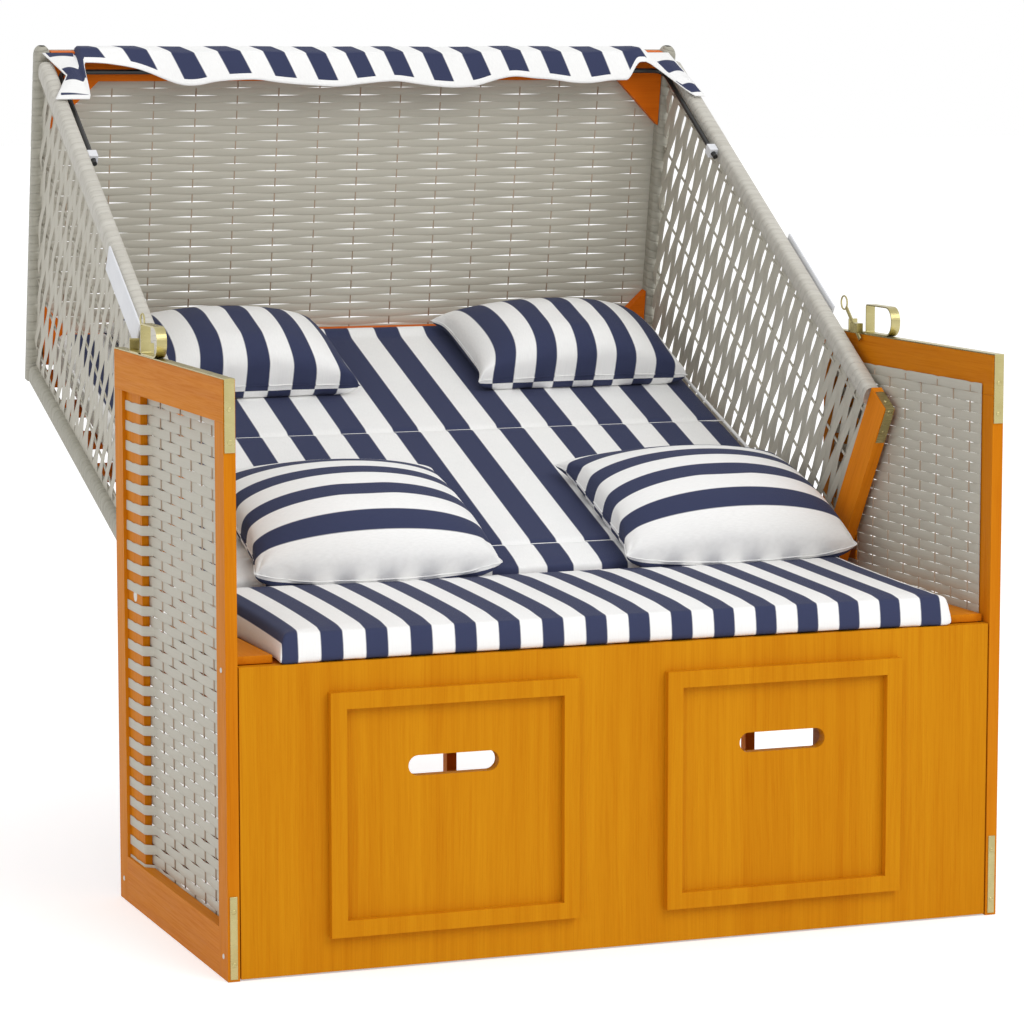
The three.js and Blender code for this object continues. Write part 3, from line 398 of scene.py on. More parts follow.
def striped(name, pitch, navy_at, share=0.5, under=0.0, hem=0.0):
    """Woven stripes. A point's mark holds its place across and along the stripes, and its skin:
    the underside, skin 1, has its stripes shifted by under."""
    made = Finish(name, Sheen_Weight=0.05, Sheen_Roughness=0.5, Specular_IOR_Level=0.2)
    across, along, skin = made.mark()
    lean = made.times(made.math("GREATER_THAN", skin, 0.5), under)
    shifted = made.add(made.math("SUBTRACT", across, navy_at), lean)
    turn = made.math("FRACT", made.add(made.math("DIVIDE", shifted, pitch), WHOLE_TURNS))
    wave = made.math("ABSOLUTE", made.math("SUBTRACT", turn, 0.5))
    soft, edge = STRIPE_SOFTNESS / pitch, 0.5 - share / 2
    navy = made.remap(wave, edge - soft, edge + soft)
    if hem:
        navy = made.times(navy, made.math("GREATER_THAN", along, hem))
    warp, weft = (made.math("SINE", made.times(way, 2 * math.pi / YARN)) for way in (across, along))
    slub = made.noise(made.scaled((across, along, skin), SLUBS), 1.0, 3.0)
    fade = made.noise(made.mapped(made.place(), scale=FADE_SCALE), 1.0, 3.0)
    shade = made.add(made.remap(slub, *NOISE, 0.96, 1.02), made.remap(fade, *NOISE, -0.02, 0.02))
    color = made.mix(navy, WHITE, NAVY)
    color = made.node("VectorMath", {0: color, "Scale": shade}, operation="SCALE").outputs[0]
    height = made.add(made.times(made.times(warp, weft), 0.5), slub)
    return made.finish(color, 0.85, made.bump(height, CLOTH_BUMP))


BRUSHED, BRUSH_BUMP = (4.0, 300.0, 300.0), 0.00002
PEEL_BUMP = 0.00004


def metal(name, color, roughness, tint):
    """Plated or brushed metal with fine streaks and a slightly clouded finish."""
    made = Finish(name, Metallic=1.0)
    lines = made.noise(made.mapped(made.place(), scale=BRUSHED), 1.0, 4.0, 0.6)
    clouds = made.noise(made.place(), 60.0, 3.0)
    rough = made.add(made.remap(lines, *NOISE, -0.06, 0.1), roughness)
    return made.finish(made.mix(clouds, color, tint), rough, made.bump(lines, BRUSH_BUMP))


def moulded(name, color, dark, roughness):
    """Moulded plastic or lacquer: a faint orange-peel surface and a little colour drift."""
    made = Finish(name, Specular_IOR_Level=0.5)
    peel = made.noise(made.place(), 700.0, 3.0)
    drift = made.noise(made.place(), 40.0, 2.0)
    rough = made.remap(peel, *NOISE, roughness - 0.05, roughness + 0.07)
    return made.finish(made.mix(drift, color, dark), rough, made.bump(peel, PEEL_BUMP))


PALE_WOOD, DARK_WOOD = srgb(214, 132, 20), srgb(188, 100, 6)
PALE_PANEL, DARK_PANEL = srgb(213, 144, 20), srgb(190, 112, 6)
# Inner wood: redder and darker than the outer wood, painted shade with the red of light bounced between the
# inner boards
PALE_INNER, DARK_INNER = srgb(204, 106, 14), srgb(172, 74, 6)
PANEL_PLANK = 0.086
WOOD = {way: wood("wood_" + way, PALE_WOOD, DARK_WOOD, way) for way in ("up", "along_y")}
INNER = {way: wood("inner_wood_" + way, PALE_INNER, DARK_INNER, way, gloss=0.55)
         for way in ("along_y", "along_x")}
GUIDE = wood("guide_wood", srgb(250, 160, 60), srgb(226, 120, 30), "up")
# A redder copy of the wood for the hood's beams: painted shade, as the beams lie in shade under the hood
SHADE_RED_BEAM = wood("shade_red_beam_wood", srgb(228, 116, 24), srgb(200, 88, 10), "along_x")
# A paler copy of the wood for the hood's lower boards: painted light, lifting boards that lie in shade
LIT_LOWER_BOARD = wood("lit_lower_board_wood", srgb(238, 144, 32), srgb(208, 110, 14), "rail")
PANEL = wood("panel_wood_up", PALE_PANEL, DARK_PANEL, "up", plank=PANEL_PLANK)
# The third colour of each resin is the painted shade at its edges
WICKER = resin("woven_resin", srgb(197, 193, 180), srgb(187, 183, 170), srgb(176, 171, 158), 0.94)
# A darker copy of the wound resin for the rear posts and bottom rails: painted shade for poles that lie in
# shade
SHADED_WRAP = resin("shaded_wound_resin", srgb(180, 177, 164), srgb(160, 157, 144), srgb(74, 68, 58), 0.955, 0.6)
WRAP = resin("wound_resin", srgb(210, 207, 198), srgb(190, 186, 176), srgb(88, 82, 72), 0.955, 0.6)
STAKE = resin("stake_resin", srgb(188, 168, 148), srgb(160, 138, 118), srgb(150, 126, 106))
BRASS = metal("brass", srgb(193, 184, 136), 0.28, srgb(172, 160, 108))
STEEL = metal("zinc_steel", srgb(205, 205, 200), 0.32, srgb(180, 180, 178))
BLACK = moulded("black_lacquer", srgb(22, 22, 22), srgb(34, 33, 32), 0.35)
PLASTIC = moulded("white_plastic", srgb(232, 233, 236), srgb(216, 218, 224), 0.4)

# Carried-over nodes: the finish and bevel of those whose names start so, the first that fits
NODE_LOOKS = (
    (("front_panel", "footrest_face", "footrest_moulding"), PANEL, 0.0016),
    (("hood_top_beam", "hood_rear_beam"), SHADE_RED_BEAM, 0.0016),
    (("hood_lower_board",), LIT_LOWER_BOARD, 0.0016),
    (("armrest_rail", "bottom_rail"), WOOD["along_y"], 0.0016),
    (("front_stile", "rear_stile", "pivot_board"), WOOD["up"], 0.0016),
    (("armrest_strap", "latch_lever", "locking_pin"), BRASS, 0.0003),
    (("pivot_bolt",), STEEL, 0.0004),
    (("awning_rod",), BLACK, 0.0004),
    (("awning_clip",), PLASTIC, 0.0004),
    (("footrest_guide",), GUIDE, 0.0016),
    (("seat_rear_rail", "base_rear_rail", "backrest_slats"), INNER["along_x"], 0.0016),
    (("",), INNER["along_y"], 0.0016),
)
BEVEL_ANGLE = 35


def finish_nodes():
    for name, node in NODES.items():
        if node.hide_render:
            continue
        finish, bevel = next(look[1:] for look in NODE_LOOKS if name.startswith(look[0]))
        node.data.materials.clear()
        node.data.materials.append(finish)
        edges = node.modifiers.new("edges", "BEVEL")
        edges.width = bevel
        edges.segments = 2
        edges.limit_method = "ANGLE"
        edges.angle_limit = math.radians(BEVEL_ANGLE)
        edges.harden_normals = True


# Woven panels
STRIP_SECTION = np.array([(-0.5, 0.0), (-0.42, 0.5), (0.42, 0.5), (0.5, 0.0), (0.42, -0.5), (-0.42, -0.5)])
STRIP_THICKNESS = 0.0009
STAKE_RADIUS, THICK_STAKE, STAKE_SIDES = 0.0012, 0.0019, 8
SAMPLES_PER_STAKE = 12
END_SETTLE = 0.012
SWING_SPREAD, STRIP_ANGLE = 0.1, 50


def span(outline, b):
    """Where the line at b enters and leaves a convex outline of (a, b) points, or None."""
    hits = []
    for (a0, b0), (a1, b1) in zip(outline, outline[1:] + outline[:1]):
        if min(b0, b1) <= b < max(b0, b1):
            hits.append(a0 + (a1 - a0) * (b - b0) / (b1 - b0))
    return (min(hits), max(hits)) if len(hits) == 2 else None


def rectangle(a0, a1, b0, b1):
    return [(a0, b0), (a1, b0), (a1, b1), (a0, b1)]


def strip_line(panel, stakes, number, reach, rng):
    """Places along one strip, how far it swings out there, and 0 to 1 as its ends settle."""
    low, high = reach
    pitch = abs(stakes[1] - stakes[0])
    steps = max(3, int(math.ceil((high - low) / pitch * SAMPLES_PER_STAKE)))
    a = np.linspace(low, high, steps + 1)
    turn = math.pi * ((a - stakes[0]) / pitch + number)
    wave = np.sign(np.cos(turn)) * np.abs(np.cos(turn)) ** panel["fullness"]
    settle = np.minimum(1.0, np.minimum((a - low) / END_SETTLE, (high - a) / panel["settle"]))
    return a, panel["swing"] * wave * settle * (1 + rng.uniform(-SWING_SPREAD, SWING_SPREAD)), settle


def drawn_in(a, stakes, parity, panel):
    """How far a strip's edge draws in beside every second stake: a pointed gap on either side of it."""
    pitch = abs(stakes[1] - stakes[0])
    start = stakes[0] + (parity % 2) * pitch
    away = np.abs((a - start + pitch) % (2 * pitch) - pitch)
    reach = panel["reach"][parity % 2] * pitch
    return panel["notch"][parity % 2] * np.maximum(0, 1 - away / reach) ** GAP_POINT


def strip_rings(a, b, out, width, notches, place):
    """Rings of one strip that runs along a, its two edges drawn in by the notches; place turns
    (a, b, out) arrays into points."""
    shares = STRIP_SECTION[:, 0][None, :]
    upper, lower = (width / 2 - notch[:, None] for notch in notches)
    section_b = b + 2 * shares * np.where(shares > 0, upper, lower)
    section_out = out[:, None] + STRIP_SECTION[:, 1][None, :] * STRIP_THICKNESS
    return place(np.broadcast_to(a[:, None], section_out.shape), section_b, section_out)


def weave(name, body, node, place, outline, panel, stakes, shaped=None):
    """Strips over and under thin stakes, inside a convex outline of (along a strip, across) points."""
    strips = Shape()
    rng = np.random.default_rng(len(name) + int(1e4 * panel["pitch"]))
    bottom, top = min(b for _, b in outline), max(b for _, b in outline)
    for number, b in enumerate(np.arange(bottom + panel["pitch"] / 2, top, panel["pitch"])):
        reach = span(outline, b)
        if reach is None or reach[1] - reach[0] < panel["width"]:
            continue
        a, out, settle = strip_line(panel, stakes, number, reach, rng)
        if shaped is not None:
            out = shaped(number, a, b, out)
        notches = [settle * drawn_in(a, stakes, number + edge, panel) for edge in (0, 1)]
        rings = strip_rings(a, b, out, panel["width"], notches, place)
        across = np.broadcast_to(STRIP_SECTION[:, 0], (len(a), len(STRIP_SECTION)))
        along = np.broadcast_to(a[:, None], across.shape)
        strips.tube(rings, np.stack([along, across, np.full_like(across, rng.uniform(0, 1))], -1))
    strips.make(name, WICKER, body, (node,), "wicker", sharp=STRIP_ANGLE)


def stake_rods(name, body, place, outline, stakes, way_out=0.0, radius=STAKE_RADIUS, finish=STAKE):
    """The thin upright rods that the strips pass."""
    swapped = [(b, a) for a, b in outline]
    rods = Shape()
    c, s = circle(STAKE_SIDES)
    for number, a in enumerate(stakes):
        reach = span(swapped, a)
        if reach is None:
            continue
        b = np.repeat(np.array(reach)[:, None], STAKE_SIDES, 1)
        rings = place(a + radius * c + 0 * b, b, way_out + radius * s + 0 * b)
        rods.tube(rings, np.stack([b, 0 * b, np.full_like(b, 0.1 * number % 1)], -1))
    rods.make(name, finish, body, (), "wicker")


# Each woven panel: the strips' pitch and width, how far they swing past the stakes and how full
# that swing is, the gaps beside even and odd stakes, deep by notch, long by reach shares, and the
# length in which all this dies away at the far end
WALL = {"pitch": 0.0120, "width": 0.01205, "swing": 0.0006, "fullness": 1.0, "notch": (0.0009, 0.0005),
        "reach": (0.55, 0.32), "settle": END_SETTLE}
HOOD_SIDE = {"pitch": 0.0155, "width": 0.0155, "swing": 0.0030, "fullness": 1.5, "notch": (0.0015, 0.0012),
             "reach": (0.50, 0.45), "settle": 0.045}
BASE_SIDE = {"pitch": 0.01397, "width": 0.01397, "swing": 0.0008, "fullness": 1.0,
             "notch": (0.0011, 0.0006), "reach": (0.30, 0.20), "settle": END_SETTLE}
GAP_POINT = 1.1
WALL_STAKE, HOOD_STAKE, BASE_STAKE = 0.0672, 0.0923, 0.050
HOOD_FIRST_STAKE, HOOD_STAKES = 0.0488, 6
BASE_FIRST_STAKE, BASE_STAKES = 0.034, 8
TUCK = 0.004
BOARD_RAMP = 0.014


def hood_wall():
    low, high = POST.box("hood_wall_wicker")
    middle = (low[2] + high[2]) / 2
    beams = [POST.box(node) for node in ("hood_top_beam", "hood_rear_beam")]
    outline = rectangle(low[0] - TUCK, high[0] + TUCK, low[1], high[1])

    def place(a, b, out):
        return POST.point(a, b, middle + out)

    def behind_beams(number, a, b, out):
        """Strips keep behind the two beams that cross in front of them."""
        if any(beam[0][1] - WALL["pitch"] < b < beam[1][1] + WALL["pitch"] for beam in beams):
            return np.minimum(out, beams[0][0][2] - middle - STRIP_THICKNESS)
        return out
    count = int(high[0] / WALL_STAKE) + 1
    stakes = [k * WALL_STAKE for k in range(-count, count + 1)]
    weave("woven_hood_wall", "hood", "hood_wall_wicker", place, outline, WALL, stakes, behind_beams)
    stake_rods("hood_wall_stakes", "hood", place, outline, stakes, -STAKE_RADIUS / 2)


def hood_side(name, side):
    node = "hood_side_wicker_" + name
    low, high = RAIL.box(node)
    middle = side * abs(low[0] + high[0]) / 2
    corners = RAIL.of([v.co for v in NODES[node].data.vertices])[:, 1:]
    corners = sorted({(float(out), float(along)) for along, out in np.round(corners, 5)})
    outline = [corners[k] for k in convex_hull_2d(corners)]

    def place(a, b, out):
        return RAIL.point(middle + side * out, b, a)
    rail_top = RAIL.box("hood_front_rail_" + name)[1][2]
    stakes = [rail_top - HOOD_FIRST_STAKE - k * HOOD_STAKE for k in range(HOOD_STAKES)]
    weave("woven_hood_side_" + name, "hood", node, place, outline, HOOD_SIDE, stakes)
    stake_rods("hood_side_stakes_" + name, "hood", place, outline, stakes, 0.0, THICK_STAKE, WICKER)


def base_side(name, side):
    node = "base_wicker_" + name
    low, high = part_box(node)
    board_low, board_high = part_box("pivot_board_" + name)
    middle = (abs(low.x) + abs(high.x)) / 2
    faces = sorted((abs(board_low.x), abs(board_high.x)))
    under, over = faces[0] - STRIP_THICKNESS - middle, faces[1] + STRIP_THICKNESS - middle
    rear_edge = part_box("rear_stile_" + name)[0].y

    def place(a, b, out):
        return LEVEL.point(side * (middle + out), a, b)

    def past_board(number, a, b, out):
        """Every second strip crosses outside the pivot board, the others inside it."""
        near = smooth_step(board_low.y - BOARD_RAMP, board_low.y, a)
        return out * (1 - near) + (over if number % 2 == 0 else under) * near
    butt = rectangle(low.y, rear_edge, low.z, high.z)
    stakes = [low.y + BASE_FIRST_STAKE + k * BASE_STAKE for k in range(BASE_STAKES)]
    weave("woven_base_" + name, "base", node, place, butt, BASE_SIDE, stakes, past_board)
    stake_rods("base_stakes_" + name, "base", place, rectangle(low.y, high.y, low.z, high.z), stakes)


# Poles wound with flat strip: a turn's mean width, how widths vary, and the height across one turn
POLE_POINTS = 28
WINDING, WINDING_SPREAD, WINDING_RUN = 0.0135, 0.25, 0.0035
WINDING_PROFILE = ((0.0, -0.0006), (0.03, 0.0), (0.25, 0.00005), (0.5, 0.00008), (0.75, 0.00005),
                   (0.97, 0.0), (1.0, -0.0006))
POLE_CLEAR = 0.0004
POLE_SQUARENESS = 3.4
POLE_END, POLE_END_SHARE = 0.014, 0.9


def pole_section(width, height):
    """Points round a rounded rectangle and their outward directions."""
    c, s = circle(POLE_POINTS)
    scale = (np.abs(c) ** POLE_SQUARENESS + np.abs(s) ** POLE_SQUARENESS) ** (-1 / POLE_SQUARENESS)
    return np.stack([c * scale * width / 2, s * scale * height / 2], -1), np.stack([c, s], -1)


def winding_edges(length, rng):
    """Where the strip of one helix starts and ends along a pole, for each point round it."""
    turns = int(math.ceil(length / WINDING)) + 1
    widths = rng.uniform(1 - WINDING_SPREAD, 1 + WINDING_SPREAD, turns + 2)
    widths *= (turns + 2) / widths.sum()
    edges = np.concatenate([[0], np.cumsum(widths)]) * WINDING - WINDING
    k = np.arange(turns * POLE_POINTS + 1)
    turn, share = k // POLE_POINTS, (k % POLE_POINTS) / POLE_POINTS
    start = edges[turn] * (1 - share) + edges[turn + 1] * share
    end = edges[turn + 1] * (1 - share) + edges[np.minimum(turn + 2, len(edges) - 1)] * share
    return k, turn, start, end, turns


# Each pole: its slope, its finish, the darker copy with painted shade on the rear posts and bottom rails, and
# whether its upper end is rounded
POLES = (("rear_post", POST, SHADED_WRAP, True), ("front_rail", RAIL, WRAP, True),
         ("bottom_rail", HOOD, SHADED_WRAP, False))


def wound_pole(name, node, side, slope, finish, round_top):
    """A pole wound with strip: one helix of slightly crowned turns with a groove between them."""
    low, high = slope.box(node)
    size, middle = high - low, (low + high) / 2
    section, normal = pole_section(size[0] - POLE_CLEAR, size[2] - POLE_CLEAR)
    rng = np.random.default_rng(len(node))
    k, turn, start, end, turns = winding_edges(size[1], rng)
    grid, marks = [], []
    for across, rise in WINDING_PROFILE:
        along = np.clip(start + (end - start) * across, 0, size[1])
        inside = np.clip(1 - (size[1] - along) / POLE_END, 0, 1) if round_top else 0 * along
        taper = np.sqrt(np.maximum(0, 1 - (POLE_END_SHARE * inside) ** 2))
        ring = section[k % POLE_POINTS] * taper[:, None] + normal[k % POLE_POINTS] * rise
        grid.append(slope.point(middle[0] + side * ring[:, 0], low[1] + along, middle[2] + ring[:, 1]))
        tone = rng.uniform(0, 1, turns + 2)[turn]
        marks.append(np.stack([k * WINDING_RUN, np.full(len(k), across - 0.5), tone], -1))
    at = np.arange(len(k) * len(grid)).reshape(len(k), len(grid))
    pole = Shape()
    pole.add(np.stack(grid, 1), grid_faces(at).tolist(), np.stack(marks, 1))
    mesh = pole.make(name, finish, "hood", (node,), "wrapped_pole").data
    clean(mesh, close=True)
    mesh.shade_smooth()


# Padded pieces
def swell(a, share):
    """0 at the edge and 1 inside, rising over a share of the half width."""
    return np.sqrt(np.maximum(0, 1 - np.maximum(0, (np.abs(a) - 1 + share) / share) ** 2))


def spread_out(count, bunch):
    """Places from -1 to 1 that bunch towards both ends."""
    line = np.linspace(-1, 1, count + 1)
    return np.sin(line * math.pi / 2) * bunch + line * (1 - bunch)


def pad_grid(bunch, grid, place, top, bottom, mark):
    """A closed pad from two skins that share their border. Gives points, faces, marks and seam indices."""
    a, b = np.meshgrid(spread_out(grid[0], bunch), spread_out(grid[1], bunch))
    x, y = place(a, b)
    edge = (np.abs(np.abs(a) - 1) < 1e-9) | (np.abs(np.abs(b) - 1) < 1e-9)
    inner = np.flatnonzero(~edge.ravel())
    index = np.arange(a.size).reshape(a.shape)
    under = index.copy()
    under.ravel()[inner] = a.size + np.arange(len(inner))
    upper, lower = (np.stack([x, y, skin(a, b)], -1).reshape(-1, 3) for skin in (top, bottom))
    faces = grid_faces(index).tolist() + grid_faces(under)[:, ::-1].tolist()
    u, v = mark(a, b)
    over, below = (np.stack([u, v, 0 * u + skin], -1).reshape(-1, 3) for skin in (0, 1))
    border = np.concatenate([index[0, :-1], index[:-1, -1], index[-1, :0:-1], index[:0:-1, 0]])
    return np.concatenate([upper, lower[inner]]), faces, np.concatenate([over, below[inner]]), border


PUFF = {"frames": 16, "quality": 5, "mass": 0.15, "stiffness": 12.0, "bending": 0.05}


def inflating(pad, pinned, pressure, grow):
    """Puts cloth on a pad, pinned along its seam, that swells under pressure."""
    group = pad.vertex_groups.new(name="seam")
    group.add([int(i) for i in pinned], 1.0, "REPLACE")
    cloth = pad.modifiers.new("Cloth", "CLOTH")
    how = cloth.settings
    how.quality, how.mass = PUFF["quality"], PUFF["mass"]
    how.tension_stiffness = how.compression_stiffness = PUFF["stiffness"]
    how.shear_stiffness = PUFF["stiffness"] / 3
    how.bending_stiffness = PUFF["bending"]
    how.use_pressure = True
    how.uniform_pressure_force = pressure
    how.shrink_min = -grow
    how.effector_weights.gravity = 0.0
    how.vertex_group_mass = "seam"
    cloth.point_cache.frame_start, cloth.point_cache.frame_end = 1, PUFF["frames"]


def puff(points, faces, pinned, pressure, grow, reach):
    """Inflates a closed pad as cloth and gives its new points, none moved further than reach."""
    mesh = bpy.data.meshes.new("pad")
    mesh.from_pydata(points.tolist(), [], faces)
    pad = shown("pad", mesh)
    inflating(pad, pinned, pressure, grow)
    scene = bpy.context.scene
    for number in range(1, PUFF["frames"] + 1):
        scene.frame_set(number)
    graph = bpy.context.evaluated_depsgraph_get()
    moved = np.array([v.co for v in pad.evaluated_get(graph).data.vertices], float)
    bpy.data.objects.remove(pad)
    scene.frame_set(1)
    step = moved - points
    size = np.linalg.norm(step, axis=1, keepdims=True)
    return points + step * np.minimum(1, reach / np.maximum(size, 1e-9))


# How a pad's grid bunches towards its edges, its pressure, growth and furthest move as cloth, its fill
PILLOW_STUFFING = {"bunch": 0.8, "puff": (3.0, 0.018, 0.005), "fill": 0.7}
SEAT_STUFFING = {"bunch": 0.6, "puff": (2.0, 0.006, 0.002), "fill": 0.8}
MATTRESS_STUFFING = {"bunch": 0.3, "puff": (1.5, 0.004, 0.002), "fill": 0.7}
SEAM_WIDTH, SEAM_DEPTH = 0.0045, 0.0035
ALL = slice(None)


def stuffed(name, node, body, slope, box, pad, stuffing, heights, finish, slot, pinned=ALL, seams=()):
    """A padded piece that stands for a CAD node: swollen as cloth, drawn in at its cross seams, kept
    between two heights and placed on its slope. Gives the points and marks of its sewn edge."""
    low, size, middle = box[0], box[1] - box[0], (box[0] + box[1]) / 2
    points, faces, marks, edge = pad_grid(stuffing["bunch"], *pad)
    points = puff(points, faces, edge[pinned], *stuffing["puff"])
    from_low = points[:, 1] + size[1] / 2
    for line in seams:
        dip = np.exp(-((from_low - line) / SEAM_WIDTH) ** 2)
        points[:, 2] -= SEAM_DEPTH * dip * (points[:, 2] > size[2] / 2)
    points[:, 2] = np.clip(points[:, 2], *heights)
    points = slope.point(middle[0] + points[:, 0], middle[1] + points[:, 1], low[2] + points[:, 2])
    made = Shape()
    made.add(points, faces, marks)
    piece = made.make(name, finish, None, (), slot)
    applied(piece, "SUBSURF", levels=1, render_levels=1)
    dress(piece, body, (node,))
    return points[edge], marks[edge]


# Stripes: their pitch, and where the middle of one navy stripe lies
SEAT_CLOTH = striped("seat_stripes", 0.0615, -0.0415, 0.495)
MATTRESS_CLOTH = striped("backrest_stripes", 0.0834, -0.0355, 0.483)
HEAD_CLOTH = {"left": striped("left_head_stripes", 0.0748, -0.2375, 0.49, under=0.0374),
              "right": striped("right_head_stripes", 0.0680, 0.2295, 0.50, under=0.0340)}
BIG_CLOTH = {"left": striped("left_big_stripes", 0.0680, -0.1145, 0.46, under=0.034),
             "right": striped("right_big_stripes", 0.0720, -0.1045, 0.48, under=0.036)}
AWNING_PITCH, HEM_WIDTH = 0.0700, 0.010
AWNING_CLOTH = striped("awning_cloth_stripes", AWNING_PITCH, 0.0, hem=HEM_WIDTH)
PIPING = striped("white_piping", 1.0, 0.5, share=0.01)

# Pillows. Metres: short and raised cut the solid's width and front, flat its height; seam_rise and
# seam_dip place the sewn edge, sag lets the front hang. Shares: crown is where it is highest; front,
# back and ends are how blunt it is; waist, ears, belly and draw shape its outline
HEAD_LOOK = {"grid": (48, 34), "short": 0.018, "raised": 0.006, "flat": 0.001, "seam_rise": 0.021,
             "seam_dip": 0.0, "crown": -0.25, "front": 0.30, "back": 0.50, "ends": 0.40, "waist": 0.08,
             "ears": 0.0, "belly": 0.0, "draw": 0.03, "sag": 0.0, "level_stripes": False}
BIG_LOOK = {"grid": (48, 40), "short": 0.0, "raised": 0.0, "flat": 0.003, "seam_rise": 0.021,
            "seam_dip": 0.014, "crown": -0.35, "front": 0.34, "back": 0.62, "ends": 0.46, "waist": 0.05,
            "ears": 0.05, "belly": 0.11, "draw": 0.0, "sag": 0.008, "level_stripes": True}
UNDER_FULL, UNDER_POWER, FRONT_HANG = 2.2, 0.6, (0.70, 0.86)


def pillow(name, node, body, finish, look):
    """A stuffed pillow: pointed corners, a crown nearer its front, a sewn edge above a flat underside."""
    low, high = HOOD.box(node)
    high[0] -= look["short"]
    low[1] += look["raised"]
    size, middle = high - low, (low + high) / 2
    crown, height = look["crown"], size[2] - look["flat"]

    def place(a, b):
        x = size[0] / 2 * a * (1 - look["waist"] * (1 - b ** 6))
        front = 1 - look["ears"] + look["belly"] * (1 - a * a)
        return x, size[1] / 2 * b * np.where(b < 0, front, 1 - look["draw"] * (1 - a ** 6))

    def rise(a, b):
        """How high the sewn edge lies: low along the middle of the front."""
        return look["seam_rise"] - look["seam_dip"] * (1 - a ** 4) * np.clip(-b, 0, 1) ** 2

    def full(a, b):
        t = np.where(b < crown, (b - crown) / (1 + crown), (b - crown) / (1 - crown))
        lengthwise = np.maximum(0, 1 - t * t) ** np.where(b < crown, look["front"], look["back"])
        return lengthwise * np.maximum(0, 1 - a * a) ** look["ends"]

    def top(a, b):
        return rise(a, b) + (height - rise(a, b)) * full(a, b)

    def bottom(a, b):
        under = np.minimum(1, UNDER_FULL * full(a, b))
        return rise(a, b) * (1 - under ** UNDER_POWER) - look["sag"] * smooth_step(*FRONT_HANG, -b) * under

    def mark(a, b):
        x, y = size[0] / 2 * a, size[1] / 2 * b
        return (y, x) if look["level_stripes"] else (x + middle[0], y)
    columns, rows = look["grid"]
    corners = [0, columns, columns + rows, 2 * columns + rows]
    pad = look["grid"], place, top, bottom, mark
    line, marks = stuffed(name, node, body, HOOD, (low, high), pad, PILLOW_STUFFING, (-look["sag"], size[2]),
                          finish, "pillow_cloth", corners)
    bead(name + "_seam", line, finish, body, marks)


BEAD_RADIUS, BEAD_SIDES = 0.0008, 8


def rings_round(line, ahead, helper, radius):
    """Rings of points round a line, square to its direction."""
    across = unit(np.cross(ahead, helper))
    c, s = (part[None, :, None] for part in circle(BEAD_SIDES))
    return line[:, None] + radius * (c * across[:, None] + s * np.cross(across, ahead)[:, None])


def bead(name, line, finish, body, marks):
    """A thin sewn bead along a closed line of points."""
    ahead = unit(np.roll(line, -1, 0) - np.roll(line, 1, 0))
    rings = rings_round(line, ahead, UP, BEAD_RADIUS)
    at = np.arange(len(line) * BEAD_SIDES).reshape(len(line), BEAD_SIDES)
    shape = Shape()
    shape.add(rings, ring_faces(at, np.roll(at, -1, 0)), np.repeat(marks[:, None], BEAD_SIDES, 1))
    shape.make(name, finish, body)


def rod_along(shape, line, radius):
    """Adds a round rod along an open line of points."""
    ahead = unit(np.gradient(line, axis=0))
    helper = np.where(np.abs(ahead[:, :1]) > 0.9, UP, RIGHT)
    shape.tube(rings_round(line, ahead, helper, radius))


# Seat cushion: how far its sides draw in, its crown and edge heights, how far it reaches back and
# lifts where it meets the mattress, and the shares over which its ends and sides round off
SEAT_DRAW, SEAT_CROWN, SEAT_EDGE = 0.004, 0.0025, 0.0395
SEAT_BACK, SEAT_LIFT = 0.010, 0.013
SEAT_END, SEAT_SIDE = 0.02, 0.03
SEAT_SEAM, SEAT_ROUND, SEAT_FALL = 0.12, 0.7, 0.7
SEAT_LIFT_FROM, SEAT_GRID = 0.5, (104, 48)


def seat_cushion():
    """A long flat cushion whose rear edge lifts where it meets the mattress."""
    low, high = (np.array(v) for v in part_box("seat_cushion"))
    high[1] += SEAT_BACK
    size, middle = high - low, (low + high) / 2

    def place(a, b):
        return size[0] / 2 * a - SEAT_DRAW * np.sign(a) * (1 - b * b) * np.abs(a), \
            size[1] / 2 * b - SEAT_DRAW * np.minimum(b, 0) * (1 - a * a)

    def full(a, b):
        return (swell(a, SEAT_END) * swell(b, SEAT_SIDE)) ** SEAT_ROUND

    def top(a, b):
        crown = SEAT_CROWN * (np.maximum(0, 1 - b * b) * np.maximum(0, 1 - a ** 6)) ** 0.5
        return SEAT_EDGE * (SEAT_SEAM + (1 - SEAT_SEAM) * full(a, b)) + crown + SEAT_LIFT * (1 + b) / 2

    def bottom(a, b):
        return SEAT_EDGE * SEAT_SEAM * (1 - full(a, b)) + SEAT_LIFT * smooth_step(SEAT_LIFT_FROM, 1.0, b)

    def mark(a, b):
        fall = SEAT_FALL * SEAT_EDGE * (1 - swell(a, SEAT_END) ** SEAT_ROUND)
        return size[0] / 2 * a + middle[0] + np.sign(a) * fall, size[1] / 2 * b
    pad = SEAT_GRID, place, top, bottom, mark
    stuffed("seat_pad", "seat_cushion", "base", LEVEL, (low, high), pad, SEAT_STUFFING,
            (0.0, size[2] + SEAT_LIFT), SEAT_CLOTH, "striped_cloth")


# Mattress: how much longer it is than its solid, how far and where its upper edge rises at the rear
# beam, its cross seams, and its piping
MATTRESS_LONGER, MATTRESS_RISE, RISE_SHARES = 0.007, 0.008, (0.90, 0.985)
MATTRESS_SEAMS, MATTRESS_GRID = (0.077, 0.462), (84, 180)
MATTRESS_ROUND, MATTRESS_POWER, MATTRESS_UNDER, MATTRESS_FLAT = 0.02, 0.6, 0.2, 0.001
PIPING_RADIUS, SIDE_PIPING_RADIUS, PIPING_POINTS = 0.0011, 0.0024, 60
PIPING_PROUD, PIPING_INSET, SIDE_PIPING_INSET, SIDE_PIPING_DOWN = 0.0012, 0.004, 0.003, 0.0045
SIDE_PIPING_END = 0.01


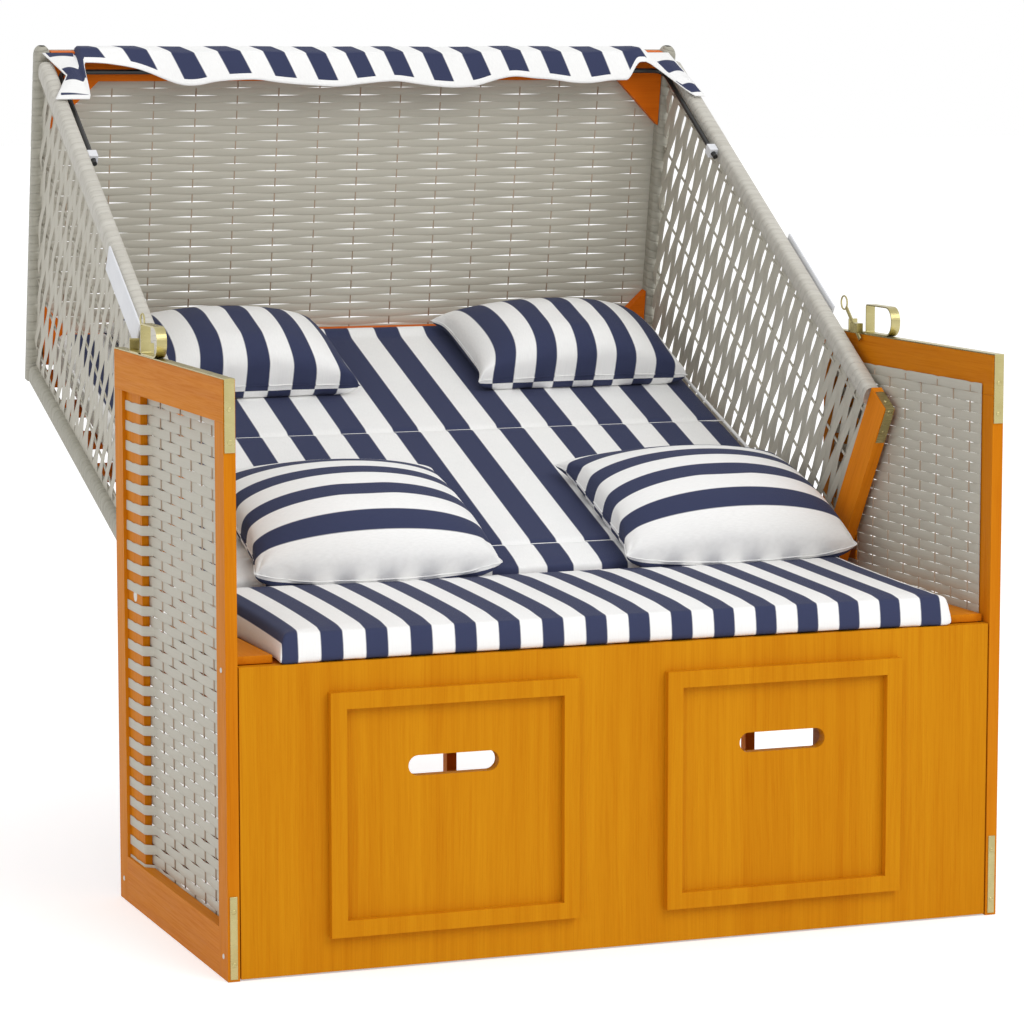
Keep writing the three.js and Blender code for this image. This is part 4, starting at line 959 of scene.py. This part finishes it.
def backrest_cushion():
    low, high = HOOD.box("backrest_cushion")
    high[1] += MATTRESS_LONGER
    size, middle = high - low, (low + high) / 2

    def place(a, b):
        return size[0] / 2 * a, size[1] / 2 * b

    def full(a, b):
        return (swell(a, MATTRESS_ROUND) * swell(b, MATTRESS_ROUND)) ** MATTRESS_POWER

    def top(a, b):
        flat = (size[2] - MATTRESS_FLAT) * (0.5 + 0.5 * full(a, b))
        return flat + MATTRESS_RISE * smooth_step(*RISE_SHARES, b)

    def bottom(a, b):
        return size[2] * MATTRESS_UNDER * (1 - full(a, b))

    def mark(a, b):
        return size[0] / 2 * a + middle[0], size[1] / 2 * b
    pad = MATTRESS_GRID, place, top, bottom, mark
    stuffed("backrest_pad", "backrest_cushion", "hood", HOOD, (low, high), pad, MATTRESS_STUFFING,
            (0.0, size[2] + MATTRESS_RISE), MATTRESS_CLOTH, "striped_cloth", seams=MATTRESS_SEAMS)
    mattress_piping(low, high)


def mattress_piping(low, high):
    """Light piping in the cross seams and along the side edges."""
    beads = Shape()
    for line in MATTRESS_SEAMS:
        x = np.linspace(low[0] + PIPING_INSET, high[0] - PIPING_INSET, PIPING_POINTS)
        rod_along(beads, HOOD.point(x, low[1] + line, high[2] - SEAM_DEPTH + PIPING_PROUD), PIPING_RADIUS)
    for side in SIDES.values():
        along = np.linspace(low[1] + SIDE_PIPING_END, high[1] - SIDE_PIPING_END, PIPING_POINTS)
        x = side * (high[0] - SIDE_PIPING_INSET)
        rod_along(beads, HOOD.point(x, along, high[2] - SIDE_PIPING_DOWN), SIDE_PIPING_RADIUS)
    beads.make("backrest_piping", PIPING, "hood", (), "striped_cloth")


# Awning cloth: a sloping middle, a raised arch near each end and a flap that lies on the rail
CLOTH = 0.0014
CLOTH_COLUMNS, CLOTH_ROWS = 300, 44
CREST_RISE, ROD_LIFT = 0.006, 0.016
FOLD_AHEAD, FOLD_DROP, BAND_DROP, BAND_REACH = 0.018, 0.001, 0.041, 0.028
# Points of the cloth's outline as (rise along the posts, distance in front): from the beam's rear,
# round the fold, over the beam's top at an arch, and over the rod
REAR_POINTS = ((-0.024, -0.007), (-0.006, -0.006), (0.0, -0.001))
FOLD_POINT, BAND_SWELL = (-0.003, 0.004), 0.002
ARCH_OVER_BEAM = ((0.002, 0.0), (0.002, 0.012))
ARCH_OVER_ROD = ((0.013, -0.002), (0.006, 0.008), (0.001, 0.014))
ARCHES = {"left": (0.300, 0.455), "right": (0.425, 0.452)}
ARCH_END, FLAP_FULL = 0.461, 0.483
FLAP_REACH, FLAP_GAP, FLAP_LIFT, FLAP_RISE = 0.118, 0.006, 0.004, 0.005
STRIPE_LEAN, LEAN_LOSS, LEAN_LOST_AT = 0.36, 0.12, 0.4
FLAP_STRIPES_AT = {"left": -0.466, "right": 0.46}
# The middle of each navy stripe along the gathered cloth, and how far the hem hangs along it
STRIPES_AT = (-0.4567, -0.3824, -0.3081, -0.2334, -0.1609, -0.0927, -0.0283, 0.0342, 0.0991, 0.1650, 0.2306,
              0.2992, 0.3701, 0.4400, 0.5100)
HEM_AT = (-0.386, -0.354, -0.321, -0.288, -0.256, -0.223, -0.190, -0.158, -0.125, -0.092, -0.060, -0.027,
          0.006, 0.038, 0.071, 0.104, 0.136, 0.169, 0.202, 0.234, 0.267, 0.300, 0.333, 0.365, 0.398)
HEM_HANGS = (-8, -1, 7, 9, 2, 0, -1, 4, 7, 9, 11, 7, 4, 2, 7, 11, 13, 11, 1, -5, -1, 1, 6, 7, 2)
HEM_SMOOTHING, HEM_SWING = 13, 0.35
# Each flap: where its inner edge lies at the rear and at its tip, and its width at rear, middle and tip
FLAPS = {"left": {"inner": (0.476, 0.476), "width": (0.045, 0.022, 0.052)},
         "right": {"inner": (0.470, 0.512), "width": (0.040, 0.028, 0.016)}}


def through(points, share):
    """Points at shares of a smooth line through a few places."""
    points = np.asarray(points, float)
    more = np.vstack([2 * points[0] - points[1], points, 2 * points[-1] - points[-2]])
    step = np.clip(share, 0, 1) * (len(points) - 1)
    k = np.minimum(step.astype(int), len(points) - 2)
    t = (step - k)[:, None]
    p0, p1, p2, p3 = (more[k + i] for i in range(4))
    return 0.5 * (2 * p1 + (p2 - p0) * t + (2 * p0 - 5 * p1 + 4 * p2 - p3) * t ** 2
                  + (3 * p1 - p0 - 3 * p2 + p3) * t ** 3)


def offset(points, rise, ahead):
    return [(rise + up, ahead + out) for up, out in points]


def awning_lines(share):
    """Three outlines of the cloth as (along the posts, in front of the pivot) points."""
    beam_low, beam_high = POST.box("hood_top_beam")
    rail_out = RAIL.box("hood_front_rail_left")[1][2]
    rod_low, rod_high = RAIL.box("awning_rod")
    rod_middle, rod_radius = (rod_low[2] + rod_high[2]) / 2, (rod_high[2] - rod_low[2]) / 2
    rod_rise, rod_out = POST.of(RAIL.point(0, rod_high[1] - rod_radius, rod_middle))[1:]
    crest, front = beam_high[1] + CREST_RISE, beam_high[2]
    rear = offset(REAR_POINTS, crest, beam_low[2])
    fold = (crest - FOLD_DROP, front + FOLD_AHEAD)
    hem = (crest - BAND_DROP, fold[1] + BAND_REACH)
    band = [fold, *offset([FOLD_POINT], *fold), ((fold[0] + hem[0]) / 2, (fold[1] + hem[1]) / 2 + BAND_SWELL),
            hem]
    middle = rear + [(crest, front)] + band
    arch = rear + offset(ARCH_OVER_BEAM, crest, front) + offset(ARCH_OVER_ROD, rod_rise + ROD_LIFT, rod_out)
    post_front = POST.box("hood_rear_post_left")[1][2]
    out = post_front + FLAP_GAP + np.linspace(0, FLAP_REACH, len(middle))
    flap = np.stack([rail_top_at(out, rail_out) + FLAP_RISE, out], -1)
    return [through(line, share) for line in (middle, arch, flap)]


def rail_top_at(out, rail_out):
    """How far along the posts the rail's top lies, at a distance in front of the pivot."""
    turn = POST_SLOPE - RAIL_SLOPE
    return (rail_out - out * math.cos(turn)) / math.sin(turn)


def smoothed(values, width):
    """A running average that keeps the length of a line of values."""
    window = np.hanning(width + 2)[1:-1]
    return np.convolve(np.pad(values, width // 2, "edge"), window / window.sum(), "valid")[:len(values)]


def flaps_pulled(x, share, spread, to_flap):
    """Places across the cloth, with its two ends drawn to the outlines of the flaps."""
    across = np.repeat(x[None], len(share), 0)
    for name, side in SIDES.items():
        shape = FLAPS[name]
        inner = shape["inner"][0] + (shape["inner"][1] - shape["inner"][0]) * share
        width = np.interp(share, (0.0, 0.5, 1.0), shape["width"])
        placed = inner[:, None] + width[:, None] * spread[None, :]
        to_place = np.abs(x) + (placed - FLAP_FULL) * to_flap
        pulled = side * np.where(np.abs(x) <= FLAP_FULL, to_place, placed)
        across = np.where((np.sign(x) == side)[None], pulled, across)
    return across


def awning_marks(x, half, points, to_flap):
    """Where each point lies across the stripes and how far it is from the hem, and the cloth's length."""
    steps = np.linalg.norm(np.diff(points, axis=0), axis=2)
    run = np.concatenate([np.zeros((1, len(x))), np.cumsum(steps, 0)])
    to_hem = np.minimum(run[-1][None] - run, 2 * (half - np.abs(x))[None] + 0 * run)
    from_middle = run - run[CLOTH_ROWS // 2][None]
    lean = (STRIPE_LEAN - LEAN_LOSS * np.clip(x / LEAN_LOST_AT, 0, 1))[None] * from_middle
    flap_x = np.where(x < 0, FLAP_STRIPES_AT["left"], FLAP_STRIPES_AT["right"])
    stripes = AWNING_PITCH * np.arange(len(STRIPES_AT))
    gathered, on_flap = (np.interp(at, STRIPES_AT, stripes) for at in (x, flap_x))
    stripe = (gathered[None] - lean) * (1 - to_flap) + (on_flap[None] + from_middle) * to_flap
    return np.stack([stripe, to_hem, 0 * to_hem], -1), float(run[-1].mean())


def awning():
    low, high = LEVEL.box("awning_cloth")
    x = np.linspace(low[0], high[0], CLOTH_COLUMNS + 1)
    share = np.linspace(0, 1, CLOTH_ROWS + 1)
    middle, arch, flap = (line[:, None] for line in awning_lines(share))
    to_arch = np.where(x < 0, *(smooth_step(*ARCHES[name], np.abs(x)) for name in SIDES))
    to_flap = smooth_step(ARCH_END, FLAP_FULL, np.abs(x))
    at_arch, at_flap = to_arch[None, :, None], to_flap[None, :, None]
    profile = (middle * (1 - at_arch) + arch * at_arch) * (1 - at_flap) + flap * at_flap
    spread = np.clip((np.abs(x) - FLAP_FULL) / (high[0] - FLAP_FULL), 0, 1)
    across = flaps_pulled(x, share, spread, to_flap)
    bulge = FLAP_LIFT * np.sin(math.pi * spread)[None, :] * np.sin(math.pi * share)[:, None]
    hang = smoothed(np.interp(x, HEM_AT, np.array(HEM_HANGS) * MM), HEM_SMOOTHING) * (1 - to_arch)
    wave = (share ** 2)[:, None] * hang[None, :]
    points = POST.point(across, profile[..., 0] - wave + bulge, profile[..., 1] + HEM_SWING * wave)
    marks, length = awning_marks(x, high[0], points, to_flap)
    made = Shape()
    made.add(points, grid_faces(np.arange(wave.size).reshape(wave.shape)).tolist(), marks)
    piece = made.make("awning_sheet", AWNING_CLOTH, None, (), "awning_stripes")
    applied(piece, "SOLIDIFY", thickness=CLOTH, offset=0.0)
    beam, rod = POST.box("hood_top_beam")[1], RAIL.box("awning_rod")[1]
    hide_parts("awning_cloth")
    tuple(POST.point(0, beam[1], beam[2]))
    tuple(RAIL.point(0, rod[1], rod[2]))
    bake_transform(piece)


# Small parts: ledges, plates, screws and nails
def block(name, slope, side, region, finish, body):
    """A board or plate with rounded edges, from its region on one side of the chair."""
    work = bmesh.new()
    board(work, rectangle(*region["along"], *region["out"]), *(side * x for x in region["x"]), slope)
    dress(rounded(work, name, finish, region["edge"], 3), body, ())


# The footrest's box: its boards' thickness, the height of its low back and where the high part ends,
# which the photograph shows through the hand slots
BOX_BOARD, BOX_BACK, BOX_HIGH_END, BOX_EDGE = 0.015, 0.100, -0.381, 0.001


def footrest_carcass(name):
    """The box behind a footrest's face: top board, two sides that are cut down at the rear, low back."""
    low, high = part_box("footrest_box_" + name)
    under_top, back = high.z - BOX_BOARD, low.z + BOX_BACK
    inner = low.x + BOX_BOARD, high.x - BOX_BOARD
    side = [(low.y, low.z), (high.y, low.z), (high.y, back), (BOX_HIGH_END, back), (BOX_HIGH_END, under_top),
            (low.y, under_top)]
    work = bmesh.new()
    board(work, side, low.x, inner[0])
    board(work, side, inner[1], high.x)
    board(work, rectangle(low.y, BOX_HIGH_END, under_top, high.z), low.x, high.x)
    board(work, rectangle(high.y - BOX_BOARD, high.y, low.z, back), *inner)
    piece = rounded(work, "footrest_carcass_" + name, WOOD["along_y"], BOX_EDGE, 2)
    dress(piece, "footrest_" + name, ("footrest_box_" + name,))


def board(work, outline, start, end, slope=LEVEL):
    """Adds a board to a mesh: an outline of (along, out) points, drawn out along X."""
    near, far = ([work.verts.new(slope.point(x, *corner)) for corner in outline] for x in (start, end))
    work.faces.new(near)
    work.faces.new(far[::-1])
    for k in range(len(outline)):
        work.faces.new((near[k - 1], near[k], far[k], far[k - 1]))


# A screw's head: (share of its radius, share of its rise) rings, and the cross cut into it
HEAD_RINGS = ((1.0, 0.0), (1.0, 0.25), (0.92, 0.55), (0.7, 0.85), (0.4, 1.0))
HEAD_SIDES, HEAD_SUNK = 24, 0.0008
CROSS_DEPTH, CROSS_WIDTH, CROSS_REACH = 0.6, 0.35, 0.6


def screw_heads(name, places, head, finish, body, slot, crossed=True):
    """Low domed heads at (point, outward direction) places, with a cross cut into each."""
    radius, rise = head
    heads = Shape()
    c, s = circle(HEAD_SIDES)
    for point, out in places:
        point, out = np.asarray(point, float), np.asarray(out, float)
        u = unit(np.cross(out, UP if abs(out[2]) < 0.9 else RIGHT))
        ring = c[:, None] * u + s[:, None] * np.cross(out, u)
        rings = []
        for share, height in HEAD_RINGS:
            cut = CROSS_DEPTH * (np.abs(2 * c * s) < CROSS_WIDTH) * (crossed and share < CROSS_REACH)
            rings.append(point + radius * share * ring + (rise * (height - cut))[:, None] * out)
        heads.tube([rings[0] - HEAD_SUNK * out] + rings)
    heads.make(name, finish, body, (), slot, sharp=EDGE_ANGLE)


LEDGE = {"x": (0.4865, 0.5365), "along": (-0.5765, -0.215), "out": (0.4105, 0.4215), "edge": 0.0015}
WEAR = {"x": (0.5293, 0.5322), "along": (0.222, 0.412), "out": (0.262, 0.303), "edge": 0.0009}
CORNER = {"half": 0.005, "out": (0.003, 0.112), "thick": 0.0012, "edge": 0.0004, "screws": (0.022, 0.092)}
# Radius and height of the heads
CORNER_HEAD, STRAP_HEAD = (0.0032, 0.0011), (0.0034, 0.0011)
NAIL_HEAD, NOSE_HEAD = (0.0036, 0.0012), (0.0030, 0.0010)
STRAP_SCREWS = (0.700, 0.742)
NAILS_Y_Z = ((-0.5745, 0.030), (-0.5745, 0.405), (-0.0745, 0.030))
NOSE = {"x": (0.5142, 0.5278), "thick": 0.0012, "front_leg": 0.040, "under_leg": 0.060, "lift": 0.0002,
        "round": (0.006, 0.004), "points": 40, "screws": (8, 26, 35), "inside": 0.05}


def small_parts():
    stile_low, stile_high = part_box("front_stile_right")
    strap_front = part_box("armrest_strap_right")[0].y
    middle, front = (stile_low.x + stile_high.x) / 2, stile_low.y - CORNER["thick"]
    corner = CORNER | {"x": (middle - CORNER["half"], middle + CORNER["half"]), "along": (front, stile_low.y)}
    ahead = (0, -1, 0)
    corner_screws, strap_screws, nails, nose_screws = [], [], [], []
    for name, side in SIDES.items():
        block("seat_ledge_" + name, LEVEL, side, LEDGE, WOOD["along_y"], "base")
        block("corner_strip_" + name, LEVEL, side, corner, BRASS, "base")
        block("wear_plate_" + name, RAIL, side, WEAR, PLASTIC, "hood")
        corner_screws += [((side * middle, front, z), ahead) for z in CORNER["screws"]]
        strap_screws += [((side * middle, strap_front, z), ahead) for z in STRAP_SCREWS]
        nails += [((side * stile_high.x, y, z), (side, 0, 0)) for y, z in NAILS_Y_Z]
        nose_screws += nose_plate(name, side)
    screw_heads("corner_screws", corner_screws, CORNER_HEAD, BRASS, "base", "brass")
    screw_heads("strap_screws", strap_screws, STRAP_HEAD, BRASS, "base", "brass")
    screw_heads("side_nails", nails, NAIL_HEAD, STEEL, "base", "steel", crossed=False)
    screw_heads("nose_screws", nose_screws, NOSE_HEAD, BRASS, "hood", "brass")


def nose_plate(name, side):
    """A thin bent plate round the nose of the hood's lower board. Gives its screws' places."""
    low, high = RAIL.box("hood_lower_board_" + name)
    under, front = low[1], high[2]
    (inner, outer), lift, (up, back) = NOSE["x"], NOSE["lift"], NOSE["round"]
    path = [(under + NOSE["front_leg"], front + lift), (under + up, front + lift),
            (under - lift, front - back), (under - lift, front - NOSE["under_leg"])]
    path = through(path, np.linspace(0, 1, NOSE["points"]))
    ahead = unit(np.gradient(path, axis=0))
    out = np.stack([ahead[:, 1], -ahead[:, 0]], -1)
    inside = np.array([(low[1] + high[1]) / 2, front - NOSE["inside"]])
    out *= np.sign(((path - inside) * out).sum(1, keepdims=True))
    skin = path + NOSE["thick"] * out
    plate = Shape()
    plate.tube(np.stack([RAIL.point(side * x, line[:, 0], line[:, 1]) for x, line in
                         ((inner, path), (outer, path), (outer, skin), (inner, skin))], 1))
    plate.make("nose_plate_" + name, BRASS, "hood", (), "brass", sharp=EDGE_ANGLE)
    return [(RAIL.point(side * (inner + outer) / 2, *skin[k]), RAIL.point(0, *out[k]) - RAIL.point(0, 0, 0))
            for k in NOSE["screws"]]


# Floor, light and camera
def floor_finish():
    """A pale floor that shows white to the camera and in reflections, and keeps the shadow."""
    made = Finish("floor", Roughness=0.9, Specular_IOR_Level=0.0)
    made.shader.inputs["Base Color"].default_value = (FLOOR_TONE, FLOOR_TONE, FLOOR_TONE, 1.0)
    light = made.node("Emission")
    rays = made.node("LightPath").outputs
    seen = made.math("MINIMUM", made.add(rays["Is Camera Ray"], rays["Is Glossy Ray"]), 1.0)
    made.feed(light.inputs["Strength"], made.times(seen, FLOOR_GLOW))
    both = made.node("AddShader", {0: made.shader.outputs[0], 1: light.outputs[0]})
    made.feed(made.output.inputs[0], both.outputs[0])
    return made.material


def floor():
    ground, r = Shape(), FLOOR_REACH
    ground.add([(-r, -r, -FLOOR_DROP), (r, -r, -FLOOR_DROP), (r, r, -FLOOR_DROP), (-r, r, -FLOOR_DROP)],
               [(0, 1, 2, 3)])
    ground.make("floor", floor_finish(), None)


def sky():
    """A white surround that lights the object at the plain ambient level."""
    world = bpy.data.worlds.new("studio")
    bpy.context.scene.world = world
    world.use_nodes = True
    made = Nodes(world.node_tree)
    background = made.tree.nodes["Background"].inputs
    background["Color"].default_value = (1.0, 1.0, 1.0, 1.0)
    rays = made.node("LightPath").outputs
    seen = made.math("MAXIMUM", rays["Is Camera Ray"], rays["Is Glossy Ray"])
    seen = made.math("MAXIMUM", seen, rays["Is Transmission Ray"])
    made.feed(background["Strength"], made.remap(seen, 0.0, 1.0, AMBIENT, 1.0))


def lamp(name, place, size, power):
    light = bpy.data.lights.new(name, "AREA")
    light.size = size
    light.energy = power
    holder = shown(name, light)
    holder.location = place
    holder.rotation_euler = (Vector(LAMP_TARGET) - Vector(place)).to_track_quat("-Z", "Y").to_euler()


def studio():
    floor()
    sky()
    for name, settings in LAMPS.items():
        lamp(name, *settings)
    scene = bpy.context.scene
    scene.view_settings.view_transform = "Standard"
    camera = bpy.data.cameras.new("camera")
    camera.lens = CAMERA_LENS
    camera.sensor_width = CAMERA_SENSOR
    camera.shift_x, camera.shift_y = CAMERA_SHIFT
    camera.clip_end = CAMERA_REACH
    scene.camera = shown("camera", camera)
    scene.camera.location = CAMERA_PLACE
    scene.camera.rotation_euler = CAMERA_TURN


def build():
    studio()
    hood_wall()
    for name, side in SIDES.items():
        hood_side(name, side)
        base_side(name, side)
        for pole, *settings in POLES:
            wound_pole(f"wound_{pole}_{name}", f"hood_{pole}_{name}", side, *settings)
    seat_cushion()
    backrest_cushion()
    for name in SIDES:
        pillow("head_cushion_" + name, "head_pillow_" + name, "hood", HEAD_CLOTH[name], HEAD_LOOK)
        pillow("seat_pillow_" + name, "big_pillow_" + name, "big_pillow_" + name, BIG_CLOTH[name], BIG_LOOK)
        footrest_carcass(name)
    awning()
    small_parts()
    finish_nodes()


build()
